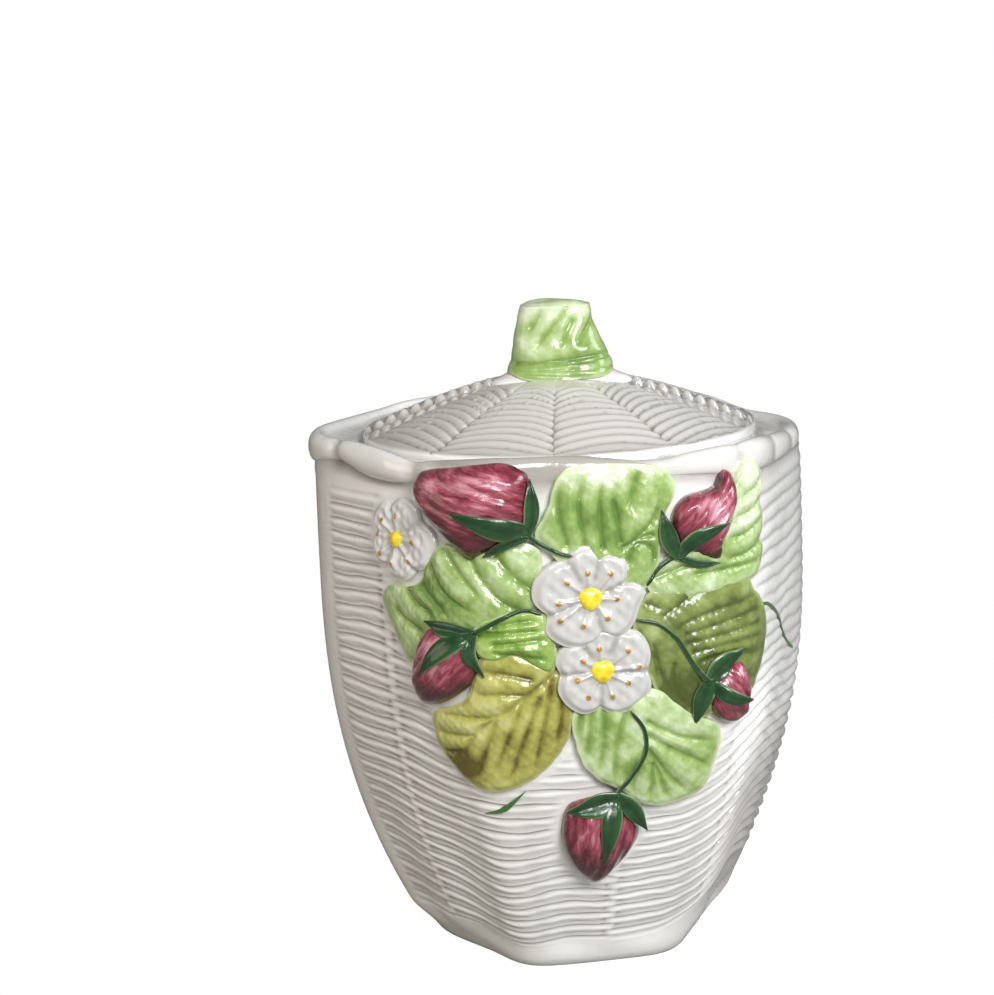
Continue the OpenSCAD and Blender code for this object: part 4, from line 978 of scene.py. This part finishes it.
def berryWay(berry):  # mm from the calyx to the tip, along the wall and up it
    return np.array(mmFrom(berry["hub"], *berry["tip"]))


def berryLocal(berry, a, z):  # mm along the fruit from calyx to tip, and across it
    way = berryWay(berry)
    way /= np.linalg.norm(way)
    x, y = mmFrom(berry["hub"], a, z)
    return x * way[0] + y * way[1], -x * way[1] + y * way[0]


def makeBerry(name, berry):
    # fruit with soft lengthwise folds; tone is darker at the edge and the tip, and lighter toward the top
    # and darker on the lower side as painted light from above, partly the glaze's own
    outline = closedCurve(berry["outline"], 160)
    centre = outline.mean(0)

    def heights(a, z, s):
        u, w = berryLocal(berry, a, z)
        fold = berry["fold"] * (np.sin(w * 1.1 + 1.2 * np.sin(u / 3.6)) + 0.5 * np.sin(w * 2.4 + u / 3))
        return berryHeight(berry, s) + (fold + 0.12 * ripple(u / 1.6, w / 1.6)) * (1 - s ** 3)

    rows = np.concatenate([[1, 0.99, 0.97, 0.94, 0.905, 0.87], np.linspace(0.83, 0.04, 30)])
    skin, spots = patch(centre, outline, heights, rows)
    ring = rimmed(outline, spots)
    u, w = berryLocal(berry, ring[..., 0], ring[..., 1])
    s = np.concatenate([[1, 1], rows])[:, None]
    along = u / np.linalg.norm(berryWay(berry))
    tone = berry["tone"] - 0.2 * smooth(0.62, 1, s) - 0.1 * smooth(0.55, 1, along)
    # painted light from above: each fruit lighter toward its top and darker below, partly the glaze's own
    # shading
    tone = tone + 0.017 * np.clip(ring[..., 1] - centre[1], -10, 10)
    middle = berryLocal(berry, *centre)
    plan = np.stack([withPoles(pole, grid, pole) for pole, grid in zip(middle, (u, w))], -1) / 10
    addSprig(name, skin, "berry", {"tone": withPoles(-0.1, tone, 0.08)}, plan)


def sweep(path, count, half, t):
    # wall points across a curve: half width times the cosine of the turn, to its left
    line = openCurve(path, count)
    k = wallScale(path[0])
    run = np.gradient(line, axis=0) * np.array([k, 1])
    run /= np.linalg.norm(run, axis=1, keepdims=True)
    across = half[:, None] * np.cos(t)
    return across, line[:, :1] - run[:, 1:] * across / k, line[:, 1:] + run[:, :1] * across


def ribbonSkin(a, z, high, across, f):  # closed ribbon from swept points, with its plan in cm
    rings = onWall(a, z, high)[:, ::-1]
    along = np.broadcast_to(f[:, None] * 2, across.shape)
    plan = np.stack([along, across[:, ::-1] / 10], -1).reshape(-1, 2)
    plan = np.concatenate([plan[:1], plan, plan[-1:]])
    return closedSkin(rings[0].mean(0), rings, rings[-1].mean(0)), plan


def sepalBlade(berry, path, width):
    # a lens carried along a curve over the fruit, widest before its middle, pointed, with pale margins
    f = np.linspace(0.03, 0.985, 32)
    lens = np.sin(math.pi * f ** 0.8) ** 0.8 * 0.86 + 0.2 * (1 - f)
    half = width / 2 * lens * (1 + 0.12 * np.sin(7 * f + width))
    t = np.radians(np.arange(0, 360, 15))
    c = np.cos(t)
    s = np.sin(t)
    across, a, z = sweep(path, len(f), half, t)
    away, edge = reach(a, z, berry["outline"])
    fruit = berryHeight(berry, np.minimum(1, away / edge))
    under = np.maximum(fruit, 2.6 - 0.6 * smooth(0.7, 1, f)[:, None])
    thick = np.where(s > 0, 0.7 * s - 0.3 * bell(c, 0.3), 0.5 * s)
    skin, plan = ribbonSkin(a, z, under + 0.15 + 0.9 * berry["fold"] + thick, across, f)
    margin = 0.75 * smooth(0.8, 0.97, c) + 0.3 * smooth(0.85, 0.97, -c)
    margin = np.broadcast_to(margin[::-1], across.shape)
    tone = np.broadcast_to(0.16 * bell(c, 0.3)[::-1], across.shape) - 0.15 - 0.1 * f[:, None]
    return skin, withPoles(0, margin, 0.5), withPoles(0, tone, 0), plan


def makeCalyx(name, berry):  # the fruit's sepals as one piece
    blades = [sepalBlade(berry, path, width) for path, width in zip(berry["sepals"], berry["widths"])]
    skins, edges, tones, plans = zip(*blades)
    values = {"edge": np.concatenate(edges), "tone": np.concatenate(tones)}
    addSprig(name, joinSkins(skins), "sepal", values, np.concatenate(plans))


def makeStem(name, path):
    # low ridge laid over the leaves, paler along its sides, higher where it meets the fruit
    f = np.linspace(0, 1, 48)
    half = (0.68 - 0.22 * f) * smooth(-0.04, 0.06, 1 - f)
    t = np.radians(np.arange(0, 360, 15))
    across, a, z = sweep(path, len(f), half, t)
    under = leafTop(*openCurve(path, len(f)).T)
    under = np.convolve(np.pad(under, 5, "edge"), np.ones(11) / 11, "valid")  # mean of 11 neighbours
    rise = np.maximum(under, 1.8) + 0.35 + 0.8 * smooth(0.2, 0, f)
    high = rise[:, None] + np.where(np.sin(t) > 0, 0.6, 0.9) * np.sin(t)
    skin, plan = ribbonSkin(a, z, high, across, f)
    side = 0.5 * np.broadcast_to(smooth(0.6, 0.95, np.abs(np.cos(t)))[::-1], across.shape)
    values = {"edge": withPoles(0, side, 0), "tone": np.full(len(skin[0]), -0.1)}
    addSprig(name, skin, "sepal", values, plan)


def flowerLine(at, t, far):  # closed line on the wall from directions in degrees and reaches in mm
    x = far * np.cos(np.radians(t)) / wallScale(at)
    return np.array(at, float) + np.stack([x, far * np.sin(np.radians(t))], -1)


def makeBlossom(name, flower):
    # five uneven petals parted by creases; filaments run to stamens: small beads with a painted dot
    t = np.arange(260) * 360 / 260
    turn, far = np.array(flower["outline"], float).T
    lobes = np.mean([np.interp(t + d, turn, far, period=360) for d in (-5, -2.5, 0, 2.5, 5)], 0)
    outline = flowerLine(flower["at"], t, lobes)
    dots = np.stack(mmFrom(flower["at"], *np.array(flower["dots"], float).T), -1)
    threads = [[dot * 0.3, dot * 0.6, dot] for dot in dots]

    def parting(x, y):  # mm to the nearest crease between petals
        off = np.degrees(np.arctan2(y, x))[..., None] - np.array(flower["parts"])
        nearest = np.abs(turned(off)).min(-1)
        return np.hypot(x, y) * np.sin(np.radians(np.minimum(nearest, 90)))

    def nearestDot(x, y):  # mm to the nearest stamen
        return np.hypot(x[..., None] - dots[:, 0], y[..., None] - dots[:, 1]).min(-1)

    def heights(a, z, s):
        x, y = mmFrom(flower["at"], a, z)
        cup = 0.7 * smooth(0.15, 0.6, s) - 1.0 * smooth(0.8, 1, s) + 0.2 * bell(s - 0.88, 0.05)
        crease = -0.6 * bell(parting(x, y), 0.8) * smooth(0.25, 0.5, s)
        pearl = 0.3 * ripple(x / 1.1, y / 1.1) * bell(s - 0.62, 0.24)
        pearl = pearl + 0.5 * lineField(x, y, threads, (0.6,))[0]
        return flower["lift"] + 2.1 + cup + crease + pearl + 0.5 * bell(nearestDot(x, y), 0.8)

    rows = np.concatenate([[1, 0.988, 0.97, 0.945], np.linspace(0.92, 0.03, 52)])
    skin, spots = patch(np.array(flower["at"], float), outline, heights, rows, 2.2)
    x, y = mmFrom(flower["at"], spots[..., 0], spots[..., 1])
    s = np.broadcast_to(rows[:, None], x.shape)
    shadeGrey = flower["shadeGrey"]
    # painted shade: an even grey over the flower, more in the creases between petals and in a ring round
    # the yellow middle
    pool = shadeGrey + 0.4 * bell(parting(x, y), 0.6) * smooth(0.25, 0.5, s) + 0.25 * bell(s - 0.26, 0.06)
    mark = smooth(0.85, 0.5, nearestDot(x, y))
    none = np.zeros((2, len(t)))
    values = {"pool": withPoles(0, np.concatenate([none + shadeGrey, pool]), shadeGrey),
              "dots": withPoles(0, np.concatenate([none, mark]), 0)}
    addSprig(name, skin, "petal", values)


def makeHeart(name, flower):
    # yellow middle: a low uneven dome
    t = np.arange(60) * 6
    outline = flowerLine(flower["at"], t, flower["heart"] * (1 + 0.06 * wave(t, 3)))

    def heights(a, z, s):
        x, y = mmFrom(flower["at"], a, z)
        dome = 1.7 * np.maximum(0, 1 - s ** 2.4) ** 0.5
        return flower["lift"] + 2.0 + dome + 0.06 * ripple(x * 1.4, y * 1.4)

    rows = np.concatenate([[1, 0.98, 0.94], np.linspace(0.88, 0.08, 14)])
    skin = patch(np.array(flower["at"], float), outline, heights, rows, 0)[0]
    addSprig(name, skin, "yolk")


def makeStroke(name, stroke):
    # flat ribbon laid on the weave, its width passing from start to middle to end
    f = np.linspace(0, 1, 160)
    half = np.interp(f, (0, 0.45, 1), stroke["wide"]) / 2
    t = np.radians(np.arange(0, 360, 30))
    across, a, z = sweep(stroke["path"], len(f), half, t)
    high = 0.02 + np.where(np.sin(t) > 0, 0.12, 0.2) * np.sin(t)
    skin, plan = ribbonSkin(a, z, high, across, f)
    values = {"edge": np.zeros(len(skin[0])), "tone": np.full(len(skin[0]), -0.6)}
    addMesh(name, skin, glazes["sepal"], "jar", (), values, plan)


makeJar()
makeLid()
makeKnob()
for name, leaf in leaves.items():
    makeLeaf(name, leaf)
for name, berry in berries.items():
    makeBerry(name, berry)
    makeCalyx(name.replace("berry", "calyx"), berry)
for name, path in stems.items():
    makeStem(name, path)
for name, flower in blossoms.items():
    makeBlossom(name, flower)
    makeHeart(name.replace("blossom", "centre"), flower)
print("sprigs made")
for name, stroke in strokes.items():
    makeStroke(name, stroke)
print("painted strokes made")

# camera: the photograph's view in metres and degrees; focal, seenAt, width and height are pixels
view = {
    "distance": 0.65, "elevation": 14.39, "roll": -1.82, "aim": 0.076, "sensor": 36,
    "focal": 2396, "seenAt": (561.1, 649.6), "width": 994, "height": 995,
}


def turnedPair(first, second, angle):  # two directions turned in their own plane
    c = math.cos(angle)
    s = math.sin(angle)
    return first * c - second * s, second * c + first * s


def makeCamera():
    # looks at the aim point, then pans and tilts so that it lands on its place in the frame, then rolls
    e = math.radians(view["elevation"])
    aim = Vector((0, 0, view["aim"]))
    eye = aim + view["distance"] * Vector((0, -math.cos(e), math.sin(e)))
    ahead = (aim - eye).normalized()
    right = Vector((1, 0, 0))
    up = right.cross(ahead)
    pan = math.atan((view["seenAt"][0] - view["width"] / 2) / view["focal"])
    tilt = math.atan((view["seenAt"][1] - view["height"] / 2) / view["focal"])
    ahead, right = turnedPair(ahead, right, pan)
    ahead, up = turnedPair(ahead, up, -tilt)
    right, up = turnedPair(right, up, -math.radians(view["roll"]))
    data = bpy.data.cameras.new("photoCamera")
    data.sensor_fit = "HORIZONTAL"
    data.sensor_width = view["sensor"]
    data.lens = view["focal"] / view["width"] * view["sensor"]
    data.clip_start = 0.01
    camera = bpy.data.objects.new("photoCamera", data)
    camera.matrix_world = Matrix((right, up, -ahead)).transposed().to_4x4()
    camera.location = eye
    scene.collection.objects.link(camera)
    scene.camera = camera


# soft studio light: key from the front right, a small lamp for the glints, a cool one from the right and a
# weak warm fill from the left; places and sizes in metres
lamps = {
    "key": {"at": (0.38, -0.92, 0.6), "size": 0.42, "power": 10.6, "colour": "#FEFEFF"},
    "glint": {"at": (-0.12, -0.8, 0.75), "size": 0.12, "power": 1.8, "colour": "#FFFFFF"},
    "side": {"at": (0.95, -0.16, 0.74), "size": 0.5, "power": 5.8, "colour": "#F4F8FF"},
    "fill": {"at": (-0.9, -0.35, 0.35), "size": 0.6, "power": 1.95, "colour": "#FFEBD8"},
}
lampAim = (0, 0, 0.08)


def makeLamps():  # area lamps that face the jar
    for name, lamp in lamps.items():
        data = bpy.data.lights.new(name, "AREA")
        data.energy = lamp["power"]
        data.size = lamp["size"]
        data.color = linear(lamp["colour"])[:3]
        light = bpy.data.objects.new(name, data)
        light.location = lamp["at"]
        way = Vector(lampAim) - light.location
        light.rotation_euler = way.to_track_quat("-Z", "Y").to_euler()
        scene.collection.objects.link(light)


# surroundings: a dim warm room for the light, white for the eye; floor sizes in metres, near and far are
# where it starts to whiten and is white
studio = {"room": "#F2F1EE", "strength": 0.24, "white": "#FFFFFF"}
floor = {"half": 3, "near": 0.06, "far": 0.13, "colour": "#A09E9A", "glow": 0.9}


def makeWorld():  # one background for camera rays and another for all others
    world = bpy.data.worlds.new("studio")
    scene.world = world
    world.use_nodes = True
    tree = world.node_tree
    tree.nodes.clear()
    ray = addNode(tree, "ShaderNodeLightPath").outputs["Is Camera Ray"]
    room = {"Color": linear(studio["room"]), "Strength": studio["strength"]}
    soft = addNode(tree, "ShaderNodeBackground", room)
    white = addNode(tree, "ShaderNodeBackground", {"Color": linear(studio["white"]), "Strength": 1.0})
    mix = addNode(tree, "ShaderNodeMixShader", links={0: ray, 1: soft.outputs[0], 2: white.outputs[0]})
    addNode(tree, "ShaderNodeOutputWorld", links={"Surface": mix.outputs[0]})


def makeFloor():
    # pale matt floor, white to the eye beyond the jar, and it keeps the shadow beside it
    material, tree = newMaterial("paleFloor")
    coords = addNode(tree, "ShaderNodeTexCoord").outputs["Object"]
    away = addNode(tree, "ShaderNodeVectorMath", {"operation": "LENGTH"}, {0: coords}).outputs["Value"]
    edge = addNode(tree, "ShaderNodeMapRange", {"From Min": floor["near"], "From Max": floor["far"]},
                   {"Value": away}).outputs["Result"]
    white = linear(studio["white"])
    matt = addNode(tree, "ShaderNodeBsdfDiffuse", {"Color": linear(floor["colour"])}).outputs[0]
    glow = addNode(tree, "ShaderNodeEmission", {"Color": white, "Strength": floor["glow"]}).outputs[0]
    bright = addNode(tree, "ShaderNodeEmission", {"Color": white, "Strength": 1.0}).outputs[0]
    ray = addNode(tree, "ShaderNodeLightPath").outputs["Is Camera Ray"]
    near = addNode(tree, "ShaderNodeAddShader", links={0: matt, 1: glow}).outputs[0]
    seen = addNode(tree, "ShaderNodeMixShader", links={0: edge, 1: near, 2: bright}).outputs[0]
    mix = addNode(tree, "ShaderNodeMixShader", links={0: ray, 1: matt, 2: seen}).outputs[0]
    addNode(tree, "ShaderNodeOutputMaterial", links={"Surface": mix})
    mesh = bpy.data.meshes.new("floor")
    corners = [(x * floor["half"], y * floor["half"], 0) for x, y in ((-1, -1), (1, -1), (1, 1), (-1, 1))]
    mesh.from_pydata(corners, [], [(0, 1, 2, 3)])
    mesh.materials.append(material)
    piece = bpy.data.objects.new("floor", mesh)
    scene.collection.objects.link(piece)


makeCamera()
makeLamps()
makeWorld()
makeFloor()
scene.view_settings.view_transform = "Standard"
print("camera and light made")
